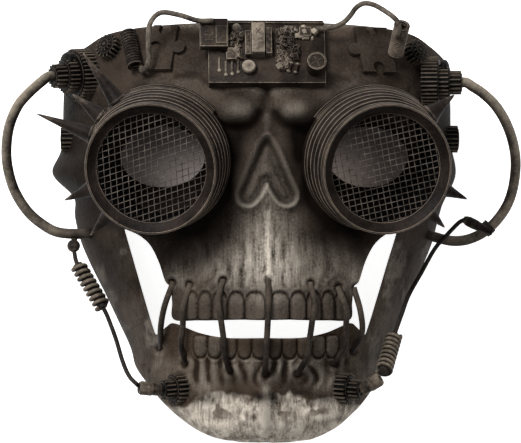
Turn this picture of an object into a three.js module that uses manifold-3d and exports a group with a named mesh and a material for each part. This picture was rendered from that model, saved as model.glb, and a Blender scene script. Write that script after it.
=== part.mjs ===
// Steampunk skull mask, lying face up on its back rim.
// Millimetres. X to the viewer's right, Y towards the forehead, Z out of the face.

import * as THREE from 'three';
import { mergeVertices } from 'three/addons/utils/BufferGeometryUtils.js';
import Module from 'manifold-3d';

const wasm = await Module();
wasm.setup();

// Driving dimensions of the shell
const WALL = 2.4; // moulded wall of the bone shell
const GAP = 0.3; // clearance between a piece and its seat
const SEAM_Y = -4; // level where the jaw bars meet the face
const TOP_EDGE_Y = 98.7; // highest point of the forehead's cut edge
const CHIN_FLOOR = 7.5; // wall under the chin
const OUTER_ROWS = 22;
const OUTER_COLUMNS = 18;
const INNER_ROWS = 10;
const INNER_COLUMNS = 10;
const FRONT_DENSITY = 0.55; // share of even spacing in the columns, the rest crowds to the middle
const ROW_DENSITY = 0.7; // share of even spacing in the rows, the rest crowds to the chin

// Horizontal sections: level, half width at the rim, rim height, height on the mid line, power of the curve
const SECTIONS = [
  { y: -109, halfWidth: 14, rimZ: 60, frontZ: 72, power: 0.6 },
  { y: -106.5, halfWidth: 27, rimZ: 57, frontZ: 79, power: 0.7 },
  { y: -99.5, halfWidth: 40, rimZ: 49, frontZ: 82, power: 0.85 },
  { y: -88, halfWidth: 53, rimZ: 33, frontZ: 80, power: 0.95 },
  { y: -75, halfWidth: 61, rimZ: 13, frontZ: 80, power: 1.05 },
  { y: -60, halfWidth: 68.5, rimZ: 0, frontZ: 84, power: 1.12 },
  { y: -40, halfWidth: 78, rimZ: 0, frontZ: 87, power: 1.15 },
  { y: -13, halfWidth: 91, rimZ: 0, frontZ: 85, power: 1.1 },
  { y: 8, halfWidth: 97, rimZ: 0, frontZ: 82, power: 1 },
  { y: 24, halfWidth: 104, rimZ: 0, frontZ: 79, power: 0.92 },
  { y: 40, halfWidth: 101.5, rimZ: 0, frontZ: 78, power: 0.88 },
  { y: 60, halfWidth: 101, rimZ: 0, frontZ: 80, power: 0.85 },
  { y: 78, halfWidth: 100, rimZ: 0, frontZ: 77, power: 0.85 },
  { y: 92, halfWidth: 97, rimZ: 0, frontZ: 70, power: 0.85 },
  { y: 104, halfWidth: 93, rimZ: 0, frontZ: 61, power: 0.85 },
];

// Raised and sunken places of the bone; a row with x above zero stands on both sides
const RELIEF = [
  { place: 'brow lobe', x: 12.5, y: 55, spreadX: 10, spreadY: 7, height: 6 },
  { place: 'brow groove', x: 0, y: 62, spreadX: 3, spreadY: 9, height: -3 },
  { place: 'brow ridge', x: 42, y: 64, spreadX: 20, spreadY: 8, height: 3 },
  { place: 'eye socket', x: 54, y: 29, spreadX: 20, spreadY: 18, height: -11 },
  { place: 'nose bone', x: 0, y: 26, spreadX: 17, spreadY: 20, height: 5 },
  { place: 'cheek bone', x: 60, y: -8, spreadX: 15, spreadY: 8, height: 4 },
  { place: 'cheek hollow', x: 32, y: -14, spreadX: 9, spreadY: 12, height: -4 },
  { place: 'chin', x: 0, y: -95, spreadX: 18, spreadY: 9, height: 4 },
];
const NOSE_PIT = { place: 'back of the nose', x: 0, y: 20, spreadX: 20, spreadY: 24, height: -10 };

// Cut edges seen from the front, right half: face from the mouth to the forehead, jaw from the lip to the bar
const OUTSIDE = 125; // past every edge of the bone
const SEAM_GAP = 0.4; // between the face and the jaw bars
const FACE_EDGE = [[0, -46.9], [44, -48.4], [45.5, -32], [48, -29.5], [51, -20], [55.2, -11.8], [60.5, -7],
  [67, SEAM_Y], [OUTSIDE, SEAM_Y], [OUTSIDE, 70], [100.5, 77], [94, 83], [86, 88.5], [76, 93.8], [58, 96.8],
  [30, 98.4], [0, TOP_EDGE_Y]];
const JAW_EDGE = [[0, -57], [18, -56.6], [31, -53.6], [43, -49.4], [47, -52], [52, -56], [58, -38],
  [67.8, SEAM_Y - SEAM_GAP], [OUTSIDE, SEAM_Y - SEAM_GAP], [OUTSIDE, -OUTSIDE], [0, -OUTSIDE]];
const CUT_DEPTH = 160; // length of the straight cuts along Z

// Openings of the bone
const EYE_HOLE = { x: 52.5, y: 31.5, radiusX: 19, radiusY: 14.5, curveSegments: 8 };
const NOSE_TILT = 0.06; // lean of the nose rim, radians
const NOSE_FLOOR_Z = 76.5;
const NOSE_RIM_Z = 86.5;
const NOSE_RIM_GROWTH = 1.26;
const NOSE_RIM_ROOT = 16; // how far the rim reaches back into the bone
const NOSE_HOLE_REACH = 20; // how far the hole is cut out past the rim
const NOSE_CENTRE_Y = 22;

// Teeth: distance from the middle and width; the same rows serve both sides
const UPPER_TEETH = { y: -41.3, halfHeight: 6.6, depth: 2.6,
  rows: [{ x: 5.4, width: 9.6 }, { x: 13.8, width: 7.4 }, { x: 21, width: 7.2 }, { x: 28.4, width: 7.4 },
    { x: 35.2, width: 6.6 }] };
const LOWER_TEETH = { y: -61.8, halfHeight: 5.6, depth: 2.4,
  rows: [{ x: 3.8, width: 7.2 }, { x: 11, width: 7.2 }, { x: 18.4, width: 7.4 }, { x: 25.8, width: 7.2 },
    { x: 32.8, width: 6.8 }] };
const TOOTH_SPREAD = 0.7; // half width of a peg, as a share of the tooth's width
const TOOTH_SINK = 0.6; // how far the middle of a peg lies under the bone

// Goggles, in a frame at the middle of the front lip with Z along the barrel
const GOGGLE = { x: 57.4, y: 25.1, z: 104, lean: [0.167, -0.197, 0.966], sides: 18,
  lipRadius: 32.2, lipWidth: 3, lipChamfer: 1.3, lipStep: 1.6, bevelDepth: 2.4, ringDepth: 6,
  boreRadius: 28.8, seatRadius: 28.5, netRadius: 27.7, shoulderRadius: 26.8, netBack: -6, netFront: -4.4,
  barrelRadius: 31.6, flangeRadius: 35.5, flangeFront: -22, flangeBack: -31, flangeSlope: 3,
  skirtRadius: 33.4, skirtBack: -64 };
const COLLAR = { innerRadius: 33, outerRadius: 36.4, back: -34, front: -26.5,
  turns: { left: [40, 112], right: [52, 146] } };
const NET = { pitch: 7.4, wire: 1.5, rim: 1.5, sides: 14 };

// Spikes: angle round the barrel in degrees, length, base diameter
const SPIKES = {
  left: [
    { angle: 124, length: 28, base: 8.6 }, { angle: 142, length: 17, base: 8.6 },
    { angle: 159, length: 28.5, base: 8.6 }, { angle: 203, length: 16, base: 8.8 },
    { angle: 227, length: 16, base: 8.8 },
  ],
  right: [
    { angle: 40, length: 15, base: 8.4 }, { angle: -22, length: 16.5, base: 8.4 },
    { angle: -42, length: 15, base: 8.4 },
  ],
};
const SPIKE_LEVEL = -26.5;
const SPIKE_SIDES = 8;

// Gears: teeth, root and tip radius, and where the stack starts and ends along its axis
const GEAR = {
  large: { teeth: 12, root: 11, tip: 13.2, from: 0, to: 6 },
  mid: { teeth: 7, root: 5.6, tip: 7.4, from: 6.3, to: 11.3 },
  small: { teeth: 6, root: 4.4, tip: 5.8, from: 10.5, to: 17.3 },
  forehead: { teeth: 9, root: 4.8, tip: 6.2, from: -2, to: 5 },
  side: { teeth: 9, root: 5.2, tip: 6.8, from: -3, to: 4.5 },
  jawFlange: { teeth: 8, root: 6, tip: 7.6, from: -2, to: 4 },
  jawPinion: { teeth: 7, root: 3.6, tip: 4.9, from: 3, to: 9.5 },
};
const TEMPLE_STACK = {
  left: { x: 90.2, y: 73.6, z: 40, lean: [0.866, -0.07, 0.495] },
  right: { x: 81.7, y: 69.6, z: 48, lean: [0.985, 0, 0.17] },
};
const DOME = { radius: 5.4, along: 9, up: 6.2, flatness: 0.5, sides: 6, rings: 4 };
const FOREHEAD_GEAR_AT = { left: { x: 76, y: 86 }, right: { x: 74.1, y: 83.6 } };
const SIDE_GEAR_AT = { x: 98.5, y: 42, z: 22 };
const JAW_GEAR = { x: 40.5, y: -82.6, lean: [0.865, -0.05, 0.5] };

// Hoses, from the temple stack outwards, down and back into the cheek
const HOSE = { radius: 2.5, steps: 15, sides: 8 };
const HOSE_EXIT = { near: 17.6, far: 20 };
const HOSE_ROUTE = {
  left: [[-112.4, 69.2, 50.2], [-118, 64.3, 48], [-123.6, 57.9, 46], [-128, 48, 42.5], [-129.7, 37, 38],
    [-129.1, 27, 35], [-126, 16, 32], [-119.9, 5.8, 30], [-112.5, -1, 28.5], [-103.4, -5.6, 28],
    [-88, -6.4, 28]],
  right: [[103, 68, 50.8], [109, 64.2, 49.6], [115.8, 57.8, 48], [121.5, 49, 45], [125.4, 39, 41],
    [127.1, 28.5, 37], [126.1, 15.9, 32], [122.2, 5.8, 30], [114.5, -3.5, 28.5], [105.5, -8.6, 28],
    [96.3, -9.9, 28], [86, -7.6, 28], [80, -5, 28]],
};
const HOSE_WRAP = { at: [114.5, -3.5, 28.5], along: [-0.72, -0.69, -0.05], innerRadius: 3.1, outerRadius: 3.7,
  length: 4.6, sides: 10 };
const PLUG = { from: [116.4, -5.8, 34.6], to: [101.7, 1.3, 34.6], radius: 2.5, neckRadius: 1.5,
  neckShare: 0.3, shoulder: 2, sides: 10 };
const BALL = { at: [-95.3, -12.3, 28], radius: 3.3, sides: 8, rings: 5 };

// Wires and springs beside the jaw
const WIRE = { radius: 1.1, sides: 5 };
const SPRING = { rootRadius: 2.8, tipRadius: 3.9, turns: 6, sides: 6 };
const SPRING_ENDS = {
  left: { from: [-93.2, -22, 31], to: [-80.5, -43, 39] },
  right: { from: [65.2, -57.1, 50], to: [61.6, -73.6, 65.5] },
};
const LOWER_WIRES = [
  { name: 'left_top', steps: 3, route: [[-95, -16, 28.4], [-94.4, -18.6, 29.6], [-93.5, -21.5, 30.8]] },
  { name: 'left_bottom', steps: 8, route: [[-80.2, -43.5, 39.2], [-78, -48, 41.4], [-74, -58.5, 47],
    [-70.6, -69.5, 55], [-67.4, -76.4, 63], [-63.2, -80.6, 69.6]] },
  { name: 'right', steps: 10, route: [[100.6, 1.7, 34.6], [97.6, -1.6, 34.6], [92.8, -7.2, 35],
    [86.8, -14, 37], [79.6, -26, 41], [73, -37, 45], [69, -47, 48], [65.4, -56.5, 49.5]] },
];
const CONNECTOR = { radius: 3.4, length: 11, sides: 10, clear: { left: 1.2, right: 2.2 },
  lean: { left: [-0.945, 0.12, 0.3], right: [0.8, 0.52, 0.3] } };

// Ribbed stubs and wires on the forehead
const STUB = { rootRadius: 3.2, tipRadius: 4.1, turns: 5, sides: 6, lift: 4.2 };
const STUB_ENDS = { left: [[-66, 91.9], [-62.5, 76.3]], right: [[64.6, 82.2], [66.9, 96.4]] };
const TOP_WIRE = { radius: 1.25, steps: 12, sides: 5 };
const TOP_WIRE_ROUTE = {
  left: [[-61.6, 74.6, 67.4], [-60.4, 74.6, 71], [-58.8, 79, 74.4], [-57.8, 88, 75.6], [-56.4, 97.6, 76.4],
    [-50.7, 103.4, 76], [-41.6, 101.6, 78.4], [-34, 98.8, 80]],
  right: [[67.4, 100.4, 56.6], [63.6, 103.4, 59], [57.6, 106.4, 64], [51.5, 108, 67.5], [46.6, 107.9, 70],
    [42.4, 105.2, 72.6], [39, 101, 74.4], [33, 96.6, 75.2]],
};
// Where each wire lands, in the board's own frame
const TOP_WIRE_LANDING = { left: { x: -26.5, y: 13.6, chip: 1 }, right: { x: 23.6, y: 11.5, chip: 0 } };

// Plates and electronics on the forehead
const PUZZLE = { thickness: 2.2, sink: 6, knob: 3.3,
  left: { x: -50.6, y: 85.4, width: 12.8, height: 25, sides: { right: 1, left: -1, top: -1, bottom: 0 } },
  right: { x: 54, y: 84.6, width: 18, height: 25, sides: { right: 0, left: 1, top: -1, bottom: -1 } } };
const BOARD = { y: 82, width: 57.5, height: 33.5, thickness: 3, sink: 7 };
// Soldered components: middle, size and height over the plate
const COMPONENTS = [
  { x: -9.2, y: 3.5, width: 3, height: 13, rise: 4 }, { x: -4.3, y: 5, width: 6.4, height: 16, rise: 6.5 },
  { x: 1, y: 4.5, width: 3, height: 14, rise: 4 }, { x: 9.5, y: 5, width: 8, height: 13, rise: 3.5 },
  { x: 19, y: 10, width: 6, height: 5, rise: 3 }, { x: -17.5, y: -3.4, width: 6, height: 5, rise: 3.4 },
  { x: 12.4, y: -9, width: 8, height: 3.4, rise: 2.6 },
];
const COMPONENT_ROOT = 1; // how far a soldered component reaches into the plate
const BUTTON = { x: -9, y: -8, radius: 3.4, rise: 3, sides: 10 };
const CHIP = { x: -26, y: 8.2, width: 14, height: 15.4, rise: 5 };
const CAN = { x: 24, y: -6, radius: 4.7, rise: 7, sides: 12 };

// Wires across the mouth: points on the bone from the upper gum to the lower jaw
const STITCH = { radius: 1.25, steps: 6, sides: 5, stations: 8 };
const STITCH_LIFT = { end: -1.2, bone: 1.6, teeth: 3.9 };
const TEETH_BAND = { top: -35, bottom: -68, fade: 5 };
const STITCHES = [
  [[-45.6, -29.6], [-47.2, -40], [-49, -52], [-52.4, -63.4]],
  [[-38, -30.7], [-41, -39.5], [-41, -55], [-40.4, -70.6]],
  [[-22, -28.6], [-22, -39.4], [-17.8, -54], [-18.4, -73.8]],
  [[0.4, -28.6], [-0.1, -46.1], [-0.6, -60], [-0.9, -75.1]],
  [[21.5, -30.1], [21.4, -39.4], [17.6, -54], [15.3, -75.2]],
  [[35.6, -32.2], [38.6, -43], [39.3, -60.8], [33.9, -70.6]],
  [[44.2, -32.8], [48.2, -45], [48.6, -59], [44.1, -64.9]],
];

// Finishes: colour, roughness, metalness
const FINISH = {
  bone: new THREE.MeshStandardMaterial({ color: 0x5f554c, roughness: 0.8, metalness: 0 }),
  jawBone: new THREE.MeshStandardMaterial({ color: 0x8d8478, roughness: 0.8, metalness: 0 }),
  darkCast: new THREE.MeshStandardMaterial({ color: 0x35302d, roughness: 0.6, metalness: 0.1 }),
  gear: new THREE.MeshStandardMaterial({ color: 0x433d38, roughness: 0.55, metalness: 0.3 }),
  wireNet: new THREE.MeshStandardMaterial({ color: 0x8a8580, roughness: 0.45, metalness: 0.8 }),
  hose: new THREE.MeshStandardMaterial({ color: 0x6b6259, roughness: 0.7, metalness: 0 }),
  wire: new THREE.MeshStandardMaterial({ color: 0x4a4440, roughness: 0.6, metalness: 0 }),
};

const SIDES = [{ name: 'left', sign: -1 }, { name: 'right', sign: 1 }];

// Working values of the geometry
const WELD = 1e-4; // vertices closer than this are one
const STEEP = 0.95; // share of Y in a direction that counts as upright
const SLOPE_STEP = 1.5; // distance over which the bone's slope is measured
const RELIEF_HOLD = 1.6; // how far round the side the relief keeps its height
const HOLLOW_TOP = 112; // the hollow runs out past the forehead's edge
const HOLLOW_DROP = 20; // and down past the rim

// Solids and meshes

/** Closed solid of a geometry, its shared vertices merged and its faces turned outwards. */
function solidOf(geometry, matrix = new THREE.Matrix4()) {
  const bare = geometry.clone().applyMatrix4(matrix);
  bare.deleteAttribute('normal');
  bare.deleteAttribute('uv');
  const merged = mergeVertices(bare, WELD);
  const points = merged.attributes.position;
  const corner = [0, 1, 2].map(() => new THREE.Vector3());
  const triangles = [];
  let volume = 0;
  for (let i = 0; i < merged.index.count; i += 3) {
    const ids = [0, 1, 2].map((k) => merged.index.getX(i + k));
    if (new Set(ids).size < 3) continue;
    ids.forEach((id, k) => corner[k].fromBufferAttribute(points, id));
    volume += corner[0].dot(corner[1].clone().cross(corner[2]));
    triangles.push(ids);
  }
  const outward = volume > 0 ? triangles : triangles.map(([a, b, c]) => [a, c, b]);
  const mesh = new wasm.Mesh({
    numProp: 3,
    vertProperties: new Float32Array(points.array),
    triVerts: new Uint32Array(outward.flat()),
  });
  return new wasm.Manifold(mesh);
}

/** Geometry of a solid after its cuts and joins. */
function geometryOf(solid) {
  const mesh = solid.getMesh();
  const geometry = new THREE.BufferGeometry();
  geometry.setAttribute('position', new THREE.BufferAttribute(new Float32Array(mesh.vertProperties), 3));
  geometry.setIndex(new THREE.BufferAttribute(new Uint32Array(mesh.triVerts), 1));
  geometry.computeVertexNormals();
  return geometry;
}

/** Named mesh of a solid in a parent group. */
function addPiece(parent, name, solid, finish) {
  const mesh = new THREE.Mesh(geometryOf(solid), finish);
  mesh.name = name;
  parent.add(mesh);
  return mesh;
}

const vector = (values) => new THREE.Vector3(...values);
const joined = (solids) => solids.reduce((sum, next) => sum.add(next));

// Shapes

/** Regular outline that stands for a circle. */
function discShape(radius, sides) {
  const corners = Array.from({ length: sides }, (_, i) => {
    const turn = (2 * Math.PI * i) / sides;
    return new THREE.Vector2(radius * Math.cos(turn), radius * Math.sin(turn));
  });
  return new THREE.Shape(corners);
}

/** Straight prism of a shape between two levels. */
function prism(shape, from, to, curveSegments = 5) {
  const geometry = new THREE.ExtrudeGeometry(shape, { depth: to - from, bevelEnabled: false, curveSegments });
  return geometry.translate(0, 0, from);
}

/** Body of revolution about Z from [radius, level] rows. */
function turned(rows, sides) {
  return new THREE.LatheGeometry(rows.map((row) => new THREE.Vector2(...row)), sides).rotateX(Math.PI / 2);
}

/** Round tube along a smooth route. */
function tube(points, { radius, steps, sides }) {
  const extrudePath = new THREE.CatmullRomCurve3(points.map(vector));
  return new THREE.ExtrudeGeometry(discShape(radius, sides), { steps, bevelEnabled: false, extrudePath });
}

/** Straight-sided gear between its two levels. */
function gearPrism({ teeth, root, tip, from, to }) {
  const profile = [{ at: 0, radius: root }, { at: 0.3, radius: tip }, { at: 0.7, radius: tip }];
  const outline = [];
  for (let tooth = 0; tooth < teeth; tooth += 1) {
    for (const { at, radius } of profile) {
      const turn = (2 * Math.PI * (tooth + at)) / teeth;
      outline.push(new THREE.Vector2(radius * Math.cos(turn), radius * Math.sin(turn)));
    }
  }
  return prism(new THREE.Shape(outline), from, to);
}

/** Ridged bar about Z that stands for a wound spring or a ribbed stub. */
function ridgedBar({ rootRadius, tipRadius, turns, sides }, length) {
  const rows = [[0, 0], [rootRadius, 0]];
  for (let turn = 0; turn < turns; turn += 1) {
    rows.push([tipRadius, ((turn + 0.5) * length) / turns]);
    rows.push([rootRadius, ((turn + 1) * length) / turns]);
  }
  rows.push([0, length]);
  return turned(rows, sides);
}

/** Placement with Z along a direction and X kept level where it can be. */
function placement(origin, axis) {
  const forward = axis.clone().normalize();
  const helper = Math.abs(forward.y) > STEEP ? new THREE.Vector3(1, 0, 0) : new THREE.Vector3(0, 1, 0);
  const across = helper.clone().cross(forward).normalize();
  const matrix = new THREE.Matrix4().makeBasis(across, forward.clone().cross(across), forward);
  return matrix.setPosition(origin);
}

/** Closed front outline from its right half, cut straight through along Z. */
function frontCut(half) {
  const mirrored = half.filter(([x]) => x > 0).map(([x, y]) => [-x, y]).reverse();
  const outline = [...half, ...mirrored].map(([x, y]) => new THREE.Vector2(x, y));
  return solidOf(prism(new THREE.Shape(outline), -CUT_DEPTH / 4, CUT_DEPTH));
}

// Form of the bone

/** Smooth value of one column of the sections at a level. */
function sectionValue(y, column) {
  const last = SECTIONS.length - 1;
  const level = THREE.MathUtils.clamp(y, SECTIONS[0].y, SECTIONS[last].y);
  const i = Math.min(last - 1, Math.max(0, SECTIONS.findIndex((row) => row.y >= level) - 1));
  const slope = (k) => {
    const low = SECTIONS[Math.max(0, k - 1)];
    const high = SECTIONS[Math.min(last, k + 1)];
    return (high[column] - low[column]) / (high.y - low.y);
  };
  const a = SECTIONS[i];
  const b = SECTIONS[i + 1];
  const span = b.y - a.y;
  const t = (level - a.y) / span;
  const rise = t * t * (3 - 2 * t);
  const start = t * (1 - t) ** 2 * span * slope(i);
  const end = t * t * (t - 1) * span * slope(i + 1);
  return a[column] + (b[column] - a[column]) * rise + start + end;
}

/** Height of the raised and sunken places at a point of the front. */
function reliefAt(x, y, rows) {
  return rows.reduce((sum, row) => {
    const centres = row.x > 0 ? [row.x, -row.x] : [0];
    const falloffY = ((y - row.y) / row.spreadY) ** 2;
    const hills = centres.map((cx) => Math.exp(-(((x - cx) / row.spreadX) ** 2) - falloffY));
    return sum + row.height * hills.reduce((total, hill) => total + hill, 0);
  }, 0);
}

/** Height of the bone over the surface that the mask lies on; inset moves it inwards. */
function boneZ(x, y, inset = 0, relief = RELIEF) {
  const halfWidth = sectionValue(y, 'halfWidth') - inset;
  const rimZ = Math.max(0, sectionValue(y, 'rimZ'));
  const across = Math.min(1, Math.abs(x) / halfWidth);
  const facing = Math.sqrt(1 - across * across);
  const crown = sectionValue(y, 'frontZ') - inset - rimZ;
  const raised = reliefAt(x, y, relief) * Math.min(1, RELIEF_HOLD * facing);
  return rimZ + crown * facing ** sectionValue(y, 'power') + raised;
}

/** Placement on the bone with Z along its outward normal. */
function onBone(x, y, lift = 0) {
  const step = SLOPE_STEP;
  const slopeX = (boneZ(x + step, y) - boneZ(x - step, y)) / (2 * step);
  const slopeY = (boneZ(x, y + step) - boneZ(x, y - step)) / (2 * step);
  const normal = new THREE.Vector3(-slopeX, -slopeY, 1).normalize();
  return placement(new THREE.Vector3(x, y, boneZ(x, y)).addScaledVector(normal, lift), normal);
}

/** Point at a height over the bone, along its normal. */
function pointOverBone(x, y, lift) {
  return new THREE.Vector3().setFromMatrixPosition(onBone(x, y, lift));
}

/** Solid behind the bone's surface, moved inwards by inset; drop carries its sides below the rim. */
function boneSolid({ inset, rows, columns, bottom, top, relief, drop }) {
  const points = [];
  const faces = [];
  const ringSize = columns + 1 + (drop > 0 ? 2 : 0);
  for (let row = 0; row <= rows; row += 1) {
    const share = row / rows;
    const y = bottom + (top - bottom) * (ROW_DENSITY * share + (1 - ROW_DENSITY) * share ** 2);
    const halfWidth = sectionValue(y, 'halfWidth') - inset;
    for (let column = 0; column <= columns; column += 1) {
      const t = (2 * column) / columns - 1;
      const x = halfWidth * Math.sin((Math.PI / 2) * (FRONT_DENSITY * t + (1 - FRONT_DENSITY) * t ** 3));
      points.push(x, y, boneZ(x, y, inset, relief));
    }
    if (drop > 0) points.push(halfWidth, y, -drop, -halfWidth, y, -drop);
  }
  for (let row = 0; row < rows; row += 1) {
    for (let i = 0; i < ringSize; i += 1) {
      const a = row * ringSize + i;
      const b = row * ringSize + ((i + 1) % ringSize);
      faces.push(a, b, b + ringSize, a, b + ringSize, a + ringSize);
    }
  }
  for (const row of [0, rows]) {
    const y = row === 0 ? bottom : top;
    const hub = points.length / 3;
    points.push(0, y, (boneZ(0, y, inset, relief) + Math.max(0, sectionValue(y, 'rimZ')) - drop) / 2);
    for (let i = 0; i < ringSize; i += 1) {
      const a = row * ringSize + i;
      const b = row * ringSize + ((i + 1) % ringSize);
      faces.push(...(row === 0 ? [hub, b, a] : [hub, a, b]));
    }
  }
  const geometry = new THREE.BufferGeometry();
  geometry.setAttribute('position', new THREE.Float32BufferAttribute(points, 3));
  geometry.setIndex(faces);
  return solidOf(geometry);
}

/** Spade-shaped nose opening, point upwards. */
function noseShape() {
  const shape = new THREE.Shape();
  shape.moveTo(0, 41.8);
  shape.bezierCurveTo(5, 33, 15.6, 24, 15.7, 14.7);
  shape.bezierCurveTo(15.7, 9.5, 12.5, 7, 9, 7.3);
  shape.bezierCurveTo(5.5, 7.5, 2, 11, 0, 18.3);
  shape.bezierCurveTo(-2, 11, -5.5, 7.5, -9, 7.3);
  shape.bezierCurveTo(-12.5, 7, -15.7, 9.5, -15.7, 14.7);
  shape.bezierCurveTo(-15.6, 24, -5, 33, 0, 41.8);
  return shape;
}

/** Prism of the nose opening, grown about its middle and leaned with the bone. */
function nosePrism(growth, from, to) {
  const geometry = prism(noseShape(), from, to, 4);
  geometry.translate(0, -NOSE_CENTRE_Y, 0).scale(growth, growth, 1).translate(0, NOSE_CENTRE_Y, 0);
  const lean = new THREE.Matrix4().makeRotationX(NOSE_TILT);
  const middle = new THREE.Matrix4().makeTranslation(0, NOSE_CENTRE_Y, NOSE_RIM_Z);
  return solidOf(geometry, middle.clone().multiply(lean).multiply(middle.clone().invert()));
}

/** Row of pegs that stand half out of the bone. */
function toothRow({ y, halfHeight, depth, rows }) {
  const pegs = [];
  for (const { sign } of SIDES) {
    for (const { x, width } of rows) {
      const peg = new THREE.SphereGeometry(1, 4, 3, Math.PI / 4);
      peg.scale(width * TOOTH_SPREAD, halfHeight, depth * Math.SQRT2);
      pegs.push(solidOf(peg, onBone(sign * x, y, -TOOTH_SINK)));
    }
  }
  return joined(pegs);
}

const outerForm = { inset: 0, rows: OUTER_ROWS, columns: OUTER_COLUMNS, bottom: SECTIONS[0].y,
  top: SECTIONS.at(-1).y, relief: RELIEF, drop: 0 };
const bone = boneSolid(outerForm);
const seat = boneSolid({ ...outerForm, inset: -GAP });
const hollow = boneSolid({ inset: WALL, rows: INNER_ROWS, columns: INNER_COLUMNS,
  bottom: SECTIONS[0].y + CHIN_FLOOR, top: HOLLOW_TOP, relief: [...RELIEF, NOSE_PIT], drop: HOLLOW_DROP });

/** The part of a solid that stands clear of the bone. */
const seated = (solid) => solid.subtract(seat);

/** Face and jaw, cut out of one walled form. */
function buildBone(parent) {
  const noseRim = nosePrism(NOSE_RIM_GROWTH, NOSE_RIM_Z - NOSE_RIM_ROOT, NOSE_RIM_Z);
  const noseHole = nosePrism(1, NOSE_FLOOR_Z, NOSE_RIM_Z + NOSE_HOLE_REACH);
  const block = joined([bone, noseRim, toothRow(UPPER_TEETH), toothRow(LOWER_TEETH)]);
  const walls = block.subtract(hollow).subtract(noseHole);
  let face = walls.intersect(frontCut(FACE_EDGE));
  for (const { sign } of SIDES) {
    const { x, y, radiusX, radiusY, curveSegments } = EYE_HOLE;
    const eye = new THREE.Shape().absellipse(sign * x, y, radiusX, radiusY, 0, 2 * Math.PI);
    face = face.subtract(solidOf(prism(eye, 0, CUT_DEPTH, curveSegments)));
  }
  addPiece(parent, 'skull_face', face, FINISH.bone);
  addPiece(parent, 'jaw', walls.intersect(frontCut(JAW_EDGE)), FINISH.jawBone);
}

// Goggles

/** Round wire net with square gaps. */
function netSolid() {
  const side = NET.pitch - NET.wire;
  const clear = GOGGLE.netRadius - NET.rim;
  const count = Math.floor(clear / NET.pitch);
  const gaps = [];
  for (let row = -count; row <= count; row += 1) {
    for (let column = -count; column <= count; column += 1) {
      const x = column * NET.pitch;
      const y = row * NET.pitch;
      if (Math.hypot(Math.abs(x) + side / 2, Math.abs(y) + side / 2) > clear) continue;
      gaps.push(solidOf(new THREE.BoxGeometry(side, side, 4 * NET.pitch).translate(x, y, GOGGLE.netFront)));
    }
  }
  const disc = prism(discShape(GOGGLE.netRadius, NET.sides), GOGGLE.netBack, GOGGLE.netFront);
  return solidOf(disc).subtract(joined(gaps));
}

/** Arched collar above the barrel. */
function collarPrism(name) {
  const { innerRadius, outerRadius, back, front } = COLLAR;
  const turns = COLLAR.turns[name].map((turn) => THREE.MathUtils.degToRad(turn));
  const shape = new THREE.Shape().absarc(0, 0, outerRadius, turns[0], turns[1], false);
  shape.absarc(0, 0, innerRadius, turns[1], turns[0], true);
  return prism(shape, back, front, 6);
}

/** Barrel, front ring, net and spikes of one side. */
function buildGoggle(parent, { name, sign }) {
  const g = GOGGLE;
  const origin = new THREE.Vector3(sign * g.x, g.y, g.z);
  const frame = placement(origin, new THREE.Vector3(sign * g.lean[0], g.lean[1], g.lean[2]));
  const barrelFront = -g.ringDepth - GAP;
  const barrel = turned([
    [g.boreRadius, g.skirtBack], [g.skirtRadius, g.skirtBack], [g.skirtRadius, g.flangeBack],
    [g.flangeRadius, g.flangeBack], [g.flangeRadius, g.flangeFront],
    [g.barrelRadius, g.flangeFront + g.flangeSlope], [g.barrelRadius, barrelFront],
    [g.shoulderRadius, barrelFront], [g.boreRadius, g.skirtBack],
  ], g.sides);
  const base = seated(solidOf(barrel, frame).add(solidOf(collarPrism(name), frame)));
  addPiece(parent, `goggle_base_${name}`, base, FINISH.darkCast);

  const front = new THREE.Group();
  front.applyMatrix4(frame);
  parent.add(front);
  const lip = g.lipRadius;
  const ring = turned([
    [g.seatRadius, -g.ringDepth], [lip, -g.ringDepth], [lip, -g.lipStep], [lip - g.lipChamfer, 0],
    [lip - g.lipWidth, 0], [g.shoulderRadius, -g.bevelDepth], [g.shoulderRadius, g.netFront + GAP],
    [g.seatRadius, g.netFront + GAP], [g.seatRadius, -g.ringDepth],
  ], g.sides);
  addPiece(front, `goggle_ring_${name}`, solidOf(ring), FINISH.darkCast);
  addPiece(front, `goggle_mesh_${name}`, netSolid(), FINISH.wireNet);

  SPIKES[name].forEach(({ angle, length, base: width }, i) => {
    const cone = new THREE.ConeGeometry(width / 2, length, SPIKE_SIDES).translate(0, length / 2, 0);
    const spike = addPiece(front, `spike_${name}_${i + 1}`, solidOf(cone), FINISH.darkCast);
    const turn = THREE.MathUtils.degToRad(angle);
    const reach = g.flangeRadius + GAP;
    spike.position.set(reach * Math.cos(turn), reach * Math.sin(turn), SPIKE_LEVEL);
    spike.rotation.z = turn - Math.PI / 2;
  });
}

// Gears and hoses

/** Place along the temple stack's axis. */
function templePoint({ name, sign }, along) {
  const { x, y, z, lean } = TEMPLE_STACK[name];
  const axis = new THREE.Vector3(sign * lean[0], lean[1], lean[2]).normalize();
  return new THREE.Vector3(sign * x, y, z).addScaledVector(axis, along);
}

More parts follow.
